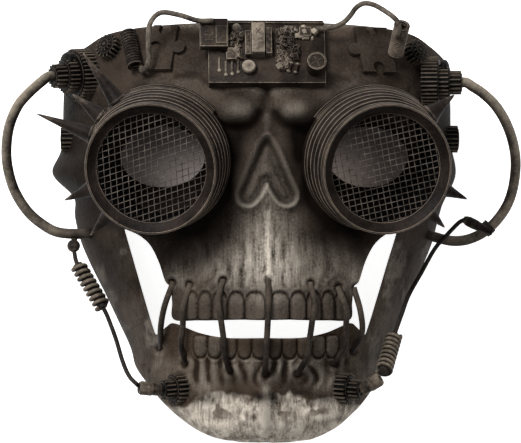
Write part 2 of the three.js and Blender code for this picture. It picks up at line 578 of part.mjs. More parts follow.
/** Gear stack on the temple, gears on forehead, side and jaw. */
function buildGears(parent, side) {
  const { name, sign } = side;
  const { lean } = TEMPLE_STACK[name];
  const stack = placement(templePoint(side, 0), new THREE.Vector3(sign * lean[0], lean[1], lean[2]));
  addPiece(parent, `temple_gear_large_${name}`, seated(solidOf(gearPrism(GEAR.large), stack)), FINISH.gear);
  const dome = new THREE.SphereGeometry(DOME.radius, DOME.sides, DOME.rings);
  dome.scale(1, 1, DOME.flatness).translate(0, DOME.up, DOME.along);
  const hub = joined([gearPrism(GEAR.mid), gearPrism(GEAR.small), dome].map((part) => solidOf(part, stack)));
  addPiece(parent, `temple_gear_hub_${name}`, seated(hub), FINISH.gear);

  const spot = FOREHEAD_GEAR_AT[name];
  const brow = onBone(sign * spot.x, spot.y);
  addPiece(parent, `forehead_gear_${name}`, seated(solidOf(gearPrism(GEAR.forehead), brow)), FINISH.gear);

  const { x, y, z } = SIDE_GEAR_AT;
  const flank = placement(new THREE.Vector3(sign * x, y, z), new THREE.Vector3(sign, 0, 0));
  addPiece(parent, `side_gear_${name}`, seated(solidOf(gearPrism(GEAR.side), flank)), FINISH.gear);

  const chin = jawStack(sign);
  const wheels = [gearPrism(GEAR.jawFlange), gearPrism(GEAR.jawPinion)];
  const jawGear = joined(wheels.map((wheel) => solidOf(wheel, chin)));
  addPiece(parent, `jaw_gear_${name}`, seated(jawGear), FINISH.gear);
}

/** Placement of the gear pair on the jaw. */
function jawStack(sign) {
  const { x, y, lean } = JAW_GEAR;
  const start = new THREE.Vector3(sign * x, y, boneZ(x, y));
  return placement(start, new THREE.Vector3(sign * lean[0], lean[1], lean[2]));
}

/** Hose of one side, held by the temple stack and the cheek. */
function buildHose(parent, side) {
  const start = [HOSE_EXIT.near, HOSE_EXIT.far].map((along) => templePoint(side, along).toArray());
  const hose = solidOf(tube([...start, ...HOSE_ROUTE[side.name]], HOSE));
  addPiece(parent, `hose_${side.name}`, seated(hose), FINISH.hose);
}

/** Plug lashed to the right hose, and the ball under the left one. */
function buildHoseEnds(parent) {
  const from = vector(PLUG.from);
  const axis = vector(PLUG.to).sub(from);
  const length = axis.length();
  const neck = length * (1 - PLUG.neckShare);
  const bottle = turned([
    [0, 0], [PLUG.radius, 0], [PLUG.radius, neck - PLUG.shoulder], [PLUG.neckRadius, neck],
    [PLUG.neckRadius, length], [0, length],
  ], PLUG.sides);
  addPiece(parent, 'hose_plug', solidOf(bottle, placement(from, axis)), FINISH.darkCast);

  const { at, along, innerRadius, outerRadius, length: wrapLength, sides } = HOSE_WRAP;
  const half = wrapLength / 2;
  const sleeve = turned([
    [innerRadius, -half], [outerRadius, -half], [outerRadius, half], [innerRadius, half],
    [innerRadius, -half],
  ], sides);
  addPiece(parent, 'hose_wrap', solidOf(sleeve, placement(vector(at), vector(along))), FINISH.wire);

  const sphere = new THREE.SphereGeometry(BALL.radius, BALL.sides, BALL.rings);
  const ball = addPiece(parent, 'hanging_ball', solidOf(sphere), FINISH.darkCast);
  ball.position.set(...BALL.at);
}

// Wires, springs and stubs

/** Ridged bar between two points. */
function barBetween(form, from, to) {
  const axis = to.clone().sub(from);
  return solidOf(ridgedBar(form, axis.length()), placement(from, axis));
}

/** Wires, springs and connectors that run from the hoses to the jaw gears. */
function buildJawWires(parent) {
  for (const { name, steps, route } of LOWER_WIRES) {
    addPiece(parent, `lower_wire_${name}`, solidOf(tube(route, { ...WIRE, steps })), FINISH.wire);
  }
  for (const { name, sign } of SIDES) {
    const { from, to } = SPRING_ENDS[name];
    addPiece(parent, `lower_spring_${name}`, barBetween(SPRING, vector(from), vector(to)), FINISH.wire);
    const along = GEAR.jawPinion.to + CONNECTOR.clear[name];
    const tip = new THREE.Vector3(0, 0, along).applyMatrix4(jawStack(sign));
    const sleeve = prism(discShape(CONNECTOR.radius, CONNECTOR.sides), 0, CONNECTOR.length);
    const placed = solidOf(sleeve, placement(tip, vector(CONNECTOR.lean[name])));
    addPiece(parent, `lower_connector_${name}`, placed, FINISH.wire);
  }
}

/** Ribbed stubs on the forehead and the wires between them and the board. */
function buildTopWires(parent) {
  for (const { name } of SIDES) {
    const ends = STUB_ENDS[name].map(([x, y]) => pointOverBone(x, y, STUB.lift));
    addPiece(parent, `forehead_stub_${name}`, barBetween(STUB, ends[0], ends[1]), FINISH.darkCast);
    const { x, y, chip } = TOP_WIRE_LANDING[name];
    const level = BOARD.thickness + chip * (GAP + CHIP.rise) + GAP + TOP_WIRE.radius;
    const landing = new THREE.Vector3(x, y, level).applyMatrix4(onBone(0, BOARD.y));
    const wire = tube([...TOP_WIRE_ROUTE[name], landing.toArray()], TOP_WIRE);
    addPiece(parent, `top_wire_${name}`, solidOf(wire), FINISH.wire);
  }
}

/** Wires that cross the mouth, close over bone and teeth. */
function buildStitches(parent) {
  STITCHES.forEach((points, i) => {
    const flat = new THREE.CatmullRomCurve3(points.map(([x, y]) => new THREE.Vector3(x, y, 0)));
    const route = flat.getSpacedPoints(STITCH.stations);
    const lifted = route.map(({ x, y }, k) => {
      const middle = (TEETH_BAND.top + TEETH_BAND.bottom) / 2;
      const outside = Math.max(0, Math.abs(y - middle) - (TEETH_BAND.top - middle));
      const share = Math.max(0, 1 - outside / TEETH_BAND.fade);
      const overBone = STITCH_LIFT.bone + (STITCH_LIFT.teeth - STITCH_LIFT.bone) * share;
      const lift = k === 0 || k === route.length - 1 ? STITCH_LIFT.end : overBone;
      return pointOverBone(x, y, lift).toArray();
    });
    addPiece(parent, `stitch_${i + 1}`, seated(solidOf(tube(lifted, STITCH))), FINISH.wire);
  });
}

// Plates and electronics

/** Plate outline with a round knob (1), a round notch (-1) or a plain edge (0) on each side. */
function puzzleShape({ width, height, sides }) {
  const shape = new THREE.Shape();
  const edges = [
    { side: 'bottom', from: [-width / 2, -height / 2], along: [1, 0], run: width },
    { side: 'right', from: [width / 2, -height / 2], along: [0, 1], run: height },
    { side: 'top', from: [width / 2, height / 2], along: [-1, 0], run: width },
    { side: 'left', from: [-width / 2, height / 2], along: [0, -1], run: height },
  ];
  const reach = 0.7; // distance of the knob's middle from the edge, in knob radii
  const opening = Math.acos(reach);
  shape.moveTo(-width / 2, -height / 2);
  for (const { side, from, along, run } of edges) {
    const out = [along[1], -along[0]];
    const knob = sides[side];
    const middle = from.map((value, k) => value + (along[k] * run) / 2 + out[k] * knob * reach * PUZZLE.knob);
    if (knob !== 0) {
      const facing = Math.atan2(-out[1] * knob, -out[0] * knob);
      const start = knob > 0 ? facing + opening : facing - opening;
      const end = knob > 0 ? facing - opening : facing + opening;
      shape.absarc(middle[0], middle[1], PUZZLE.knob, start, end, knob < 0);
    }
    shape.lineTo(from[0] + along[0] * run, from[1] + along[1] * run);
  }
  return shape;
}

/** Plates, board and components on the forehead. */
function buildForeheadPlates(parent) {
  for (const { name } of SIDES) {
    const form = PUZZLE[name];
    const plate = prism(puzzleShape(form), -PUZZLE.sink, PUZZLE.thickness, 4);
    addPiece(parent, `puzzle_plate_${name}`, seated(solidOf(plate, onBone(form.x, form.y))), FINISH.bone);
  }
  const frame = onBone(0, BOARD.y);
  const block = ({ x, y, width, height }, from, to) => solidOf(
    new THREE.BoxGeometry(width, height, to - from).translate(x, y, (from + to) / 2), frame);
  const top = BOARD.thickness;
  const parts = [block({ x: 0, y: 0, width: BOARD.width, height: BOARD.height }, -BOARD.sink, top)];
  const root = top - COMPONENT_ROOT;
  COMPONENTS.forEach((row) => parts.push(block(row, root, top + row.rise)));
  const button = prism(discShape(BUTTON.radius, BUTTON.sides), root, top + BUTTON.rise);
  parts.push(solidOf(button.translate(BUTTON.x, BUTTON.y, 0), frame));
  const chip = block(CHIP, top + GAP, top + GAP + CHIP.rise);
  addPiece(parent, 'circuit_board', seated(joined(parts)), FINISH.gear);
  addPiece(parent, 'chip_module', seated(chip), FINISH.darkCast);
  const can = prism(discShape(CAN.radius, CAN.sides), top + GAP, top + GAP + CAN.rise);
  const standing = solidOf(can.translate(CAN.x, CAN.y, 0), frame);
  addPiece(parent, 'capacitor_can', seated(standing), FINISH.gear);
}

const mask = new THREE.Group();
buildBone(mask);
for (const side of SIDES) {
  buildGoggle(mask, side);
  buildGears(mask, side);
  buildHose(mask, side);
}
buildHoseEnds(mask);
buildJawWires(mask);
buildTopWires(mask);
buildStitches(mask);
buildForeheadPlates(mask);

// The origin is the middle of the whole mask's box, on the surface that it lies on
mask.updateMatrixWorld(true);
const box = new THREE.Box3().setFromObject(mask, true);
const middle = box.getCenter(new THREE.Vector3());
mask.position.set(-middle.x, -middle.y, -box.min.z);

const part = new THREE.Group();
part.add(mask);
export default part;
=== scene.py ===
"""Dressed model of a steampunk skull mask, lying face up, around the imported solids.

Sizes are millimetres in the mask's own frame: X to the viewer's right, Y towards the forehead and
Z out of the face. SHIFT carries them into the row frame, which is in metres.
"""
import logging
import math
from dataclasses import dataclass, field
from enum import Enum
from typing import Any, Callable, Sequence

import bmesh
import bpy
import numpy as np
from mathutils import Matrix, Vector


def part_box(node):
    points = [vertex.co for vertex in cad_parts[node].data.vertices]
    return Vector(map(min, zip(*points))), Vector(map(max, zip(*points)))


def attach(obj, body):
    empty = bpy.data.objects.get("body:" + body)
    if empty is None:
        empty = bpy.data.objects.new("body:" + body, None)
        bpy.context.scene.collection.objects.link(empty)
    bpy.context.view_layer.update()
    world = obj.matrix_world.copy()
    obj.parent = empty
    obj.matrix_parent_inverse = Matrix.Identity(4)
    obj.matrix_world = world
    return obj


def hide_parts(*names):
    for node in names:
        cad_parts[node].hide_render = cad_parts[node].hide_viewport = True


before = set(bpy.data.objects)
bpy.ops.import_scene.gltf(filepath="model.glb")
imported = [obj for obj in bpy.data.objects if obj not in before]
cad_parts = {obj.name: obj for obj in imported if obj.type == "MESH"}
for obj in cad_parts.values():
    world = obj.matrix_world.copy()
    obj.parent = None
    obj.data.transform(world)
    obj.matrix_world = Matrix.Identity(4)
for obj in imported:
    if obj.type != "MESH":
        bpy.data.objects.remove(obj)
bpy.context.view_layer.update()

LOG = logging.getLogger("mask")
MM = 0.001
BODY = "root"

Point = tuple[float, ...]
Points = Sequence[Point]
Faces = list[tuple[int, ...]]
Mesh = bpy.types.Mesh
Material = bpy.types.Material


class Side(Enum):
    """Side of the mask, as the viewer sees it."""

    LEFT = "left"
    RIGHT = "right"

    @property
    def sign(self) -> int:
        """Direction of the side along X."""
        return -1 if self is Side.LEFT else 1


class Slot(Enum):
    """Material slots of the record."""

    BONE = "bone"
    JAW = "jaw_bone"
    CAST = "dark_cast"
    GEAR = "gear"
    NET = "wire_net"
    HOSE = "hose"
    WIRE = "wire"


@dataclass(frozen=True)
class Pair:
    """A value for each side."""

    left: Any
    right: Any

    def __getitem__(self, side: Side) -> Any:
        """Value of a side."""
        return self.left if side is Side.LEFT else self.right


# Shader and geometry expressions


def operator(operation: str, swapped: bool = False) -> Callable[["Signal", Any], "Signal"]:
    """Operator method that adds a Math node.

    Args:
        operation: The node's operation.
        swapped: Whether the other value comes first.

    Returns:
        The method.
    """
    def method(self: "Signal", value: Any) -> "Signal":
        """Result of the operation with another signal or a plain number."""
        first, second = (value, self) if swapped else (self, value)
        return self.graph.node("ShaderNodeMath", {"operation": operation}, {0: first, 1: second})

    return method


class Signal:
    """A node's output that takes part in Python expressions; each operator adds a Math node."""

    def __init__(self, graph: "Graph", node: bpy.types.Node, output: int | str) -> None:
        """Keeps the graph, the node and the output socket.

        Args:
            graph: The graph.
            node: The node.
            output: Which output.
        """
        self.graph = graph
        self.node = node
        self.socket = node.outputs[output]

    __add__, __radd__ = operator("ADD"), operator("ADD", True)
    __sub__, __rsub__ = operator("SUBTRACT"), operator("SUBTRACT", True)
    __mul__, __rmul__ = operator("MULTIPLY"), operator("MULTIPLY", True)
    __truediv__, __rtruediv__ = operator("DIVIDE"), operator("DIVIDE", True)
    __pow__, __rpow__ = operator("POWER"), operator("POWER", True)

    def __neg__(self) -> "Signal":
        """The value with its sign turned."""
        return 0.0 - self

    def __abs__(self) -> "Signal":
        """The value without its sign."""
        return self.graph.node("ShaderNodeMath", {"operation": "ABSOLUTE"}, {0: self})

    def other(self, output: int | str) -> "Signal":
        """Another output of the same node."""
        return Signal(self.graph, self.node, output)

    def step(self, low: float, high: float) -> "Signal":
        """Smooth rise from 0 at low to 1 at high."""
        settings = {"interpolation_type": "SMOOTHSTEP"}
        return self.graph.node("ShaderNodeMapRange", settings, {0: self, 1: low, 2: high})

    def clamped(self) -> "Signal":
        """The value held between 0 and 1."""
        return self.graph.node("ShaderNodeMath", {"operation": "ADD", "use_clamp": True}, {0: self, 1: 0.0})


class Graph:
    """A node tree with one method that adds any node."""

    def __init__(self, tree: bpy.types.NodeTree) -> None:
        """Keeps the tree."""
        self.tree = tree

    def node(self, kind: str, settings: dict[str, Any] | None = None,
             sockets: dict[int | str, Any] | None = None, output: int | str = 0) -> Signal:
        """Adds a node.

        Args:
            kind: The node's type.
            settings: Properties, set before the sockets.
            sockets: Values or signals by input; a list of signals goes to a socket that takes many.
            output: The output that is returned.

        Returns:
            Signal of that output.
        """
        made = self.tree.nodes.new(kind)
        for key, value in (settings or {}).items():
            setattr(made, key, value)
        for key, value in (sockets or {}).items():
            for item in value if isinstance(value, list) else [value]:
                self.fill(made.inputs[key], item)
        return Signal(self, made, output)

    def fill(self, socket: bpy.types.NodeSocket, value: Any) -> None:
        """Links a signal to an input, or sets its plain value.

        Args:
            socket: The input.
            value: The signal or value.
        """
        if isinstance(value, Signal):
            self.tree.links.new(value.socket, socket)
        else:
            socket.default_value = value


class Surface(Graph):
    """Node tree of a new material, with its shader and the place on the object."""

    def __init__(self, name: str) -> None:
        """Makes the material of that name.

        Args:
            name: Name of the material.
        """
        self.material = bpy.data.materials.new(name)
        self.material.use_nodes = True
        super().__init__(self.material.node_tree)
        self.shader = self.tree.nodes["Principled BSDF"]
        self.place = self.node("ShaderNodeTexCoord", None, None, "Object")

    def mix(self, factor: Any, first: Any, second: Any) -> Signal:
        """Mix of two colours by a factor."""
        return self.node("ShaderNodeMix", {"data_type": "RGBA"}, {0: factor, 6: first, 7: second}, 2)

    def noise(self, scale: float, detail: float, stretch: Point = (1.0, 1.0, 1.0)) -> Signal:
        """Noise from 0 to 1 over the object.

        Args:
            scale: Lumps in a metre.
            detail: Octaves.
            stretch: Scale of the places along each axis.

        Returns:
            The noise.
        """
        place = self.node("ShaderNodeMapping", None, {"Vector": self.place, "Scale": stretch})
        return self.node("ShaderNodeTexNoise", None, {"Vector": place, "Scale": scale, "Detail": detail})

    def attribute(self, name: str) -> Signal:
        """Value of a mesh attribute."""
        return self.node("ShaderNodeAttribute", {"attribute_name": name}, None, "Fac")

    def bump(self, height: Signal, strength: float, distance: float) -> Signal:
        """Normal that a height gives."""
        sockets = {"Height": height, "Strength": strength, "Distance": distance}
        return self.node("ShaderNodeBump", None, sockets)

    def feed(self, **inputs: Any) -> Material:
        """Sets or links inputs of the shader; underscores in a name stand for spaces.

        Args:
            **inputs: Values or signals.

        Returns:
            The material.
        """
        for key, value in inputs.items():
            self.fill(self.shader.inputs[key.replace("_", " ")], value)
        return self.material


def tone(red: float, green: float, blue: float) -> Point:
    """Linear colour, with a full alpha, of a screen colour from 0 to 255.

    Args:
        red: Red part.
        green: Green part.
        blue: Blue part.

    Returns:
        The colour.
    """
    shares = [value / 255 for value in (red, green, blue)]
    linear = [share / 12.92 if share <= 0.04045 else ((share + 0.055) / 1.055) ** 2.4 for share in shares]
    return (*linear, 1.0)


# Finishes


@dataclass(frozen=True)
class PaintedBone:
    """Bone paint: dark ground, dry-brushed pale strokes, dark wash in the hollows, painted shade mixed with
    dark stains, and painted highlights within the pale level.
    """

    name: str
    # Near-black of the painted shade, the dark stains and the wash in the hollows.
    soot: Point = tone(14, 10, 8)
    wash: Point = tone(38, 31, 26)
    body: Point = tone(64, 55, 48)
    pale: Point = tone(186, 177, 164)
    brush: Point = (1.0, 0.1, 1.0)
    stroke: float = 1100.0
    broad: float = 308.0
    fleck: float = 820.0
    cloud: float = 48.0
    stroke_gain: float = 2.0
    broad_gain: float = 2.2
    stain_span: Point = (0.3, 0.62)
    stain_gain: float = 0.3
    stain_least: float = 0.74
    ridge_gain: float = 0.8
    fleck_gain: float = 0.9
    bare_gain: float = 0.06
    ground_span: Point = (0.28, 0.72)
    hollow_span: Point = (0.12, 1.0)
    hollow_gain: float = 0.65
    shade_and_stain_uneven: float = 0.2

    def material(self) -> Material:
        """Node material of the paint.

        Returns:
            The material.
        """
        paint = Surface(self.name)
        ridge, level, soot = (paint.attribute(key) for key in ("ridge", "pale", "soot"))
        strokes = paint.noise(self.stroke, 3.0, self.brush)
        broad = paint.noise(self.broad, 4.0, self.brush)
        flecks, cloud = paint.noise(self.fleck, 6.0), paint.noise(self.cloud, 5.0)
        uneven = flecks - 0.5
        streaks = 1.0 + (strokes - 0.5) * self.stroke_gain + (broad - 0.5) * self.broad_gain
        stain = (cloud + uneven * 0.4).step(*self.stain_span) * self.stain_gain + self.stain_least
        edges = ridge * (level * self.ridge_gain + self.bare_gain)
        specks = uneven * (level * self.fleck_gain + self.bare_gain)
        cover = (level * streaks * stain + edges + specks).clamped()
        ground = paint.mix((cloud + uneven * 0.3).step(*self.ground_span), self.wash, self.body)
        hollow = (uneven * 0.3 - ridge).step(*self.hollow_span) * self.hollow_gain
        washed = paint.mix(hollow, paint.mix(cover, ground, self.pale), self.soot)
        # Painted shade and dark stains: near-black laid on where the shade value is high.
        colour = paint.mix((soot + (cloud - 0.5) * self.shade_and_stain_uneven).clamped(), washed, self.soot)
        normal = paint.bump(strokes * 0.3 + broad * 0.4 + flecks * 0.6, 0.75, 0.0007)
        roughness = 0.62 + cover * 0.15
        return paint.feed(Base_Color=colour, Roughness=roughness, Normal=normal, Specular_IOR_Level=0.02)


@dataclass(frozen=True)
class CastResin:
    """Dark cast resin with light rubbed onto its edges, and near-black painted shade in the goggle bores."""

    name: str
    deep: Point = tone(17, 13, 11)
    body: Point = tone(37, 30, 26)
    worn: Point = tone(118, 106, 94)
    black: Point = tone(5, 4, 4)
    wear: float = 0.85
    grain: float = 620.0
    cloud: float = 86.8
    grain_gain: float = 0.6
    cloud_gain: float = 0.8
    rubbed_span: Point = (0.18, 1.05)
    ground_span: Point = (0.3, 0.72)
    roughness: float = 0.55

    def material(self) -> Material:
        """Node material of the resin.

        Returns:
            The material.
        """
        resin = Surface(self.name)
        # The shade value paints the goggle bores near-black as painted shade.
        wear, soot = resin.attribute("wear"), resin.attribute("soot")
        grain, cloud = resin.noise(self.grain, 6.0), resin.noise(self.cloud, 5.0)
        uneven = (grain - 0.5) * self.grain_gain + (cloud - 0.5) * self.cloud_gain
        rubbed = (wear * self.wear + uneven).step(*self.rubbed_span)
        ground = resin.mix((cloud + (grain - 0.5) * 0.4).step(*self.ground_span), self.deep, self.body)
        colour = resin.mix(soot, resin.mix(rubbed, ground, self.worn), self.black)
        roughness = self.roughness + (cloud - 0.5) * 0.25
        normal = resin.bump(grain, 0.6, 0.0005)
        return resin.feed(Base_Color=colour, Roughness=roughness, Normal=normal, Specular_IOR_Level=0.07)


@dataclass(frozen=True)
class WornSleeve:
    """Sheath of a hose or wire, rubbed pale along its length; on the hoses the pale side is also a painted
    highlight.
    """

    name: str
    body: Point
    worn: Point
    cover: float
    mottle: float = 0.5
    deep: Point = tone(26, 22, 20)
    fleck: float = 700.0
    cloud: float = 120.0
    rubbed_span: Point = (0.0, 0.9)
    ground_span: Point = (0.3, 0.7)
    roughness: float = 0.6

    def material(self) -> Material:
        """Node material of the sheath.

        Returns:
            The material.
        """
        sleeve = Surface(self.name)
        flecks, cloud = sleeve.noise(self.fleck, 6.0), sleeve.noise(self.cloud, 5.0)
        uneven = (flecks - 0.5) * self.mottle + (cloud - 0.5) * self.mottle
        rubbed = (sleeve.attribute("wear") * self.cover + uneven).step(*self.rubbed_span)
        ground = sleeve.mix(cloud.step(*self.ground_span), self.deep, self.body)
        colour = sleeve.mix(rubbed, ground, self.worn)
        roughness = self.roughness + (flecks - 0.5) * 0.2
        normal = sleeve.bump(flecks, 0.35, 0.0004)
        return sleeve.feed(Base_Color=colour, Roughness=roughness, Normal=normal, Specular_IOR_Level=0.08)


@dataclass(frozen=True)
class DullWire:
    """Thin drawn wire of the nets."""

    name: str
    body: Point = tone(94, 85, 77)
    deep: Point = tone(46, 40, 35)
    cloud: float = 160.0
    ground_span: Point = (0.3, 0.7)

    def material(self) -> Material:
        """Node material of the wire.

        Returns:
            The material.
        """
        wire = Surface(self.name)
        cloud = wire.noise(self.cloud, 4.0)
        colour = wire.mix(cloud.step(*self.ground_span), self.deep, self.body)
        return wire.feed(Base_Color=colour, Roughness=0.4 + cloud * 0.2, Metallic=0.3)


@dataclass(frozen=True)
class EyeShadeSheet:
    """Dark sheet behind the eye holes as painted shade; painted clearer, with a faint warm glow, towards the
    nose and cheek.
    """

    name: str
    most: float
    least: float = 0.005
    # Dark colour of the sheet that paints the shade inside the mask.
    thread: Point = tone(20, 18, 17)
    # Colour of the painted glow of light seen through.
    painted_glow: Point = tone(126, 84, 52)
    painted_glow_strength: float = 0.2
    cloud: float = 60.0
    nose_span: Point = (0.032, 0.064)
    brow_span: Point = (0.02, 0.043)
    outer_share: float = 0.18
    upper_share: float = 0.07

    def material(self) -> Material:
        """Node material of the sheet.

        Returns:
            The material.
        """
        sheet = Surface(self.name)
        across = sheet.node("ShaderNodeSeparateXYZ", None, {0: sheet.place})
        inner = (1.0 - abs(across).step(*self.nose_span)) * (1.0 - self.outer_share) + self.outer_share
        lower = (1.0 - across.other("Y").step(*self.brow_span)) * (1.0 - self.upper_share) + self.upper_share
        # Painted light: clearer towards the nose and the cheek.
        clear = self.least + inner * lower * (0.8 + sheet.noise(self.cloud, 3.0) * 0.4) * self.most
        # Painted light: a faint warm glow where the sheet is clearest.
        lit = sheet.mix((clear / self.most).clamped(), (0.0, 0.0, 0.0, 1.0), self.painted_glow)
        return sheet.feed(Base_Color=self.thread, Roughness=0.9, Alpha=1.0 - clear, Emission_Color=lit,
                          Emission_Strength=self.painted_glow_strength)


@dataclass(frozen=True)
class PaleFloor:
    """White studio floor that also glows."""

    name: str = "studio_floor"
    colour: Point = tone(244, 244, 244)
    glow: float = 1.0

    def material(self) -> Material:
        """Node material of the floor."""
        return Surface(self.name).feed(Base_Color=self.colour, Roughness=0.9, Emission_Color=self.colour,
                                       Emission_Strength=self.glow)


class Palette:
    """The finishes of this mask, each made once."""

    def __init__(self) -> None:
        """Makes the materials."""
        self.bone = PaintedBone("bone_paint").material()
        self.jaw = PaintedBone("jaw_paint", wash=tone(40, 32, 26), body=tone(70, 58, 48)).material()
        self.cast = CastResin("goggle_resin").material()
        self.spike = CastResin("spike_resin", body=tone(38, 31, 27), wear=0.8).material()
        self.gear = CastResin("gear_resin", tone(4, 3, 3), tone(11, 9, 8), tone(88, 79, 69),
                              wear=0.7).material()
        self.board = CastResin("board_resin", tone(24, 19, 16), tone(54, 45, 38), tone(142, 131, 117),
                               wear=0.8).material()
        self.net = DullWire("net_wire").material()
        # Painted-shade sheets behind the eyes; the left one is clearer, as painted light from the left.
        self.shade_sheet = Pair(EyeShadeSheet("eye_gauze_left", 0.125).material(),
                          EyeShadeSheet("eye_gauze_right", 0.085).material())
        sleeves = {
            "hose_rubber": (tone(62, 54, 47), tone(140, 130, 116), 0.62),
            "top_wire_sheath": (tone(50, 44, 38), tone(116, 107, 96), 0.4, 0.9),
            "jaw_wire_sheath": (tone(32, 28, 25), tone(84, 76, 68), 0.25),
            "stitch_wire": (tone(38, 32, 27), tone(100, 90, 79), 0.45),
            "spring_wire": (tone(44, 37, 32), tone(124, 113, 99), 0.45, 0.7),
            "connector_sleeve": (tone(56, 47, 40), tone(128, 117, 102), 0.4, 0.8),
        }
        made = [WornSleeve(name, *values).material() for name, values in sleeves.items()]
        self.hose, self.top_wire, self.wire, self.stitch, self.spring, self.tip = made


# Meshes and placement

TOP_EDGE = 98.7


def row_shift() -> np.ndarray:
    """Offset from the mask's frame to the row frame, in millimetres."""
    low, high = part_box("skull_face")
    return np.array([(low.x + high.x) / 2 / MM, high.y / MM - TOP_EDGE, 0.0])


SHIFT = row_shift()


@dataclass
class Form:
    """Mesh under construction: points in millimetres, faces, and values at the points."""

    points: np.ndarray
    faces: Faces
    values: dict[str, np.ndarray] = field(default_factory=dict)

    def placed(self, matrix: np.ndarray) -> "Form":
        """The form carried by a placement."""
        return Form(self.points @ matrix[:3, :3].T + matrix[:3, 3], self.faces, self.values)

    def moved(self, x: float, y: float, z: float) -> "Form":
        """The form shifted."""
        return Form(self.points + (x, y, z), self.faces, self.values)

    def twisted(self, turn: float) -> "Form":
        """The form turned about Z, in radians.

        Args:
            turn: The angle.

        Returns:
            The turned form.
        """
        matrix = np.eye(4)
        matrix[:2, :2] = ((math.cos(turn), -math.sin(turn)), (math.sin(turn), math.cos(turn)))
        return self.placed(matrix)


def joined(*forms: Form) -> Form:
    """One form of several; a value that a form lacks is 0 there.

    Args:
        *forms: The forms.

    Returns:
        The joined form.
    """
    faces: Faces = []
    start = 0
    for form in forms:
        faces += [tuple(i + start for i in face) for face in form.faces]
        start += len(form.points)
    values = {name: np.concatenate([form.values.get(name, np.zeros(len(form.points))) for form in forms])
              for name in sorted({name for form in forms for name in form.values})}
    return Form(np.concatenate([form.points for form in forms]), faces, values)


def placement(origin: Sequence[float], axis: Sequence[float]) -> np.ndarray:
    """Placement with Z along a direction and X kept level where it can be.

    Args:
        origin: Where the form's origin goes.
        axis: Direction of its Z.

    Returns:
        A 4 by 4 matrix.
    """
    forward = np.array(axis, float) / np.linalg.norm(axis)
    nearly_upright = abs(forward[1]) > 0.95
    across = np.cross((1.0, 0.0, 0.0) if nearly_upright else (0.0, 1.0, 0.0), forward)
    across /= np.linalg.norm(across)
    matrix = np.eye(4)
    matrix[:3] = np.column_stack([across, np.cross(forward, across), forward, origin])
    return matrix


def carried(matrix: np.ndarray, point: Sequence[float]) -> np.ndarray:
    """A point carried by a placement."""
    return matrix[:3, :3] @ np.array(point, float) + matrix[:3, 3]


def keep(mesh: Mesh, name: str, values: np.ndarray) -> None:
    """Keeps a value at each point of a mesh, as an attribute of that name."""
    layer = mesh.attributes.get(name) or mesh.attributes.new(name, "FLOAT", "POINT")
    layer.data.foreach_set("value", np.asarray(values, np.float32))


def vectors(mesh: Mesh, name: str) -> np.ndarray:
    """Positions ("co") or normals ("normal") of a mesh's points.

    Args:
        mesh: The mesh.
        name: Property of its points.

    Returns:
        One row for each point.
    """
    flat = np.empty(len(mesh.vertices) * 3)
    mesh.vertices.foreach_get(name, flat)
    return flat.reshape(-1, 3)


def mesh_of(name: str, form: Form) -> Mesh:
    """Plain mesh of a form, in metres in the row frame.

    Args:
        name: Name of the mesh.
        form: The form.

    Returns:
        The mesh.
    """
    mesh = bpy.data.meshes.new(name)
    mesh.from_pydata(((form.points + SHIFT) * MM).tolist(), [], form.faces)
    for key, values in form.values.items():
        keep(mesh, key, values)
    mesh.update()
    return mesh


def linked(name: str, data: bpy.types.ID) -> bpy.types.Object:
    """Object of a mesh, light or camera in the scene.

    Args:
        name: Name of the object.
        data: What it shows.

    Returns:
        The object.
    """
    made = bpy.data.objects.new(name, data)
    bpy.context.scene.collection.objects.link(made)
    return made


def evaluated_mesh(obj: bpy.types.Object) -> Mesh:
    """Plain mesh of an object with its modifiers worked in."""
    graph = bpy.context.evaluated_depsgraph_get()
    return bpy.data.meshes.new_from_object(obj.evaluated_get(graph), depsgraph=graph)


SHARP_FROM = math.radians(40.0)


def piece(name: str, shape: Form | Mesh, material: Material, slot: Slot, *nodes: str) -> bpy.types.Object:
    """Makes a piece: mesh, material, smooth shading and body, and hides the nodes it stands for.

    Args:
        name: Its name.
        shape: Its form, or its mesh in the row frame.
        material: Its material.
        slot: Its slot in the record; not used.
        *nodes: The solids that it replaces.

    Returns:
        The piece.
    """
    mesh = mesh_of(name, shape) if isinstance(shape, Form) else shape
    made = linked(name, mesh)
    mesh.materials.clear()
    mesh.materials.append(material)
    mesh.shade_smooth()
    mesh.set_sharp_from_angle(angle=SHARP_FROM)
    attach(made, BODY)
    if nodes:
        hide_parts(*nodes)
    LOG.info("%s: %d faces, stands for %s", name, len(mesh.polygons), ", ".join(nodes) or "nothing")
    return made


def ring_faces(count: int, low: int, high: int) -> Faces:
    """Faces between two rings of points.

    Args:
        count: Points in a ring.
        low: First point of the lower ring.
        high: First point of the upper ring.

    Returns:
        The faces.
    """
    return [(low + i, low + (i + 1) % count, high + (i + 1) % count, high + i) for i in range(count)]


def stacked(grid: np.ndarray) -> Form:
    """Closed form of a grid of points whose rows are rings, capped at both ends.

    Args:
        grid: Rows of ring points.

    Returns:
        The form.
    """
    rows, count = grid.shape[:2]
    faces: Faces = []
    for row in range(rows - 1):
        faces += ring_faces(count, row * count, (row + 1) * count)
    faces.append(tuple(range(count))[::-1])
    faces.append(tuple(range((rows - 1) * count, rows * count)))
    return Form(grid.reshape(-1, 3), faces)


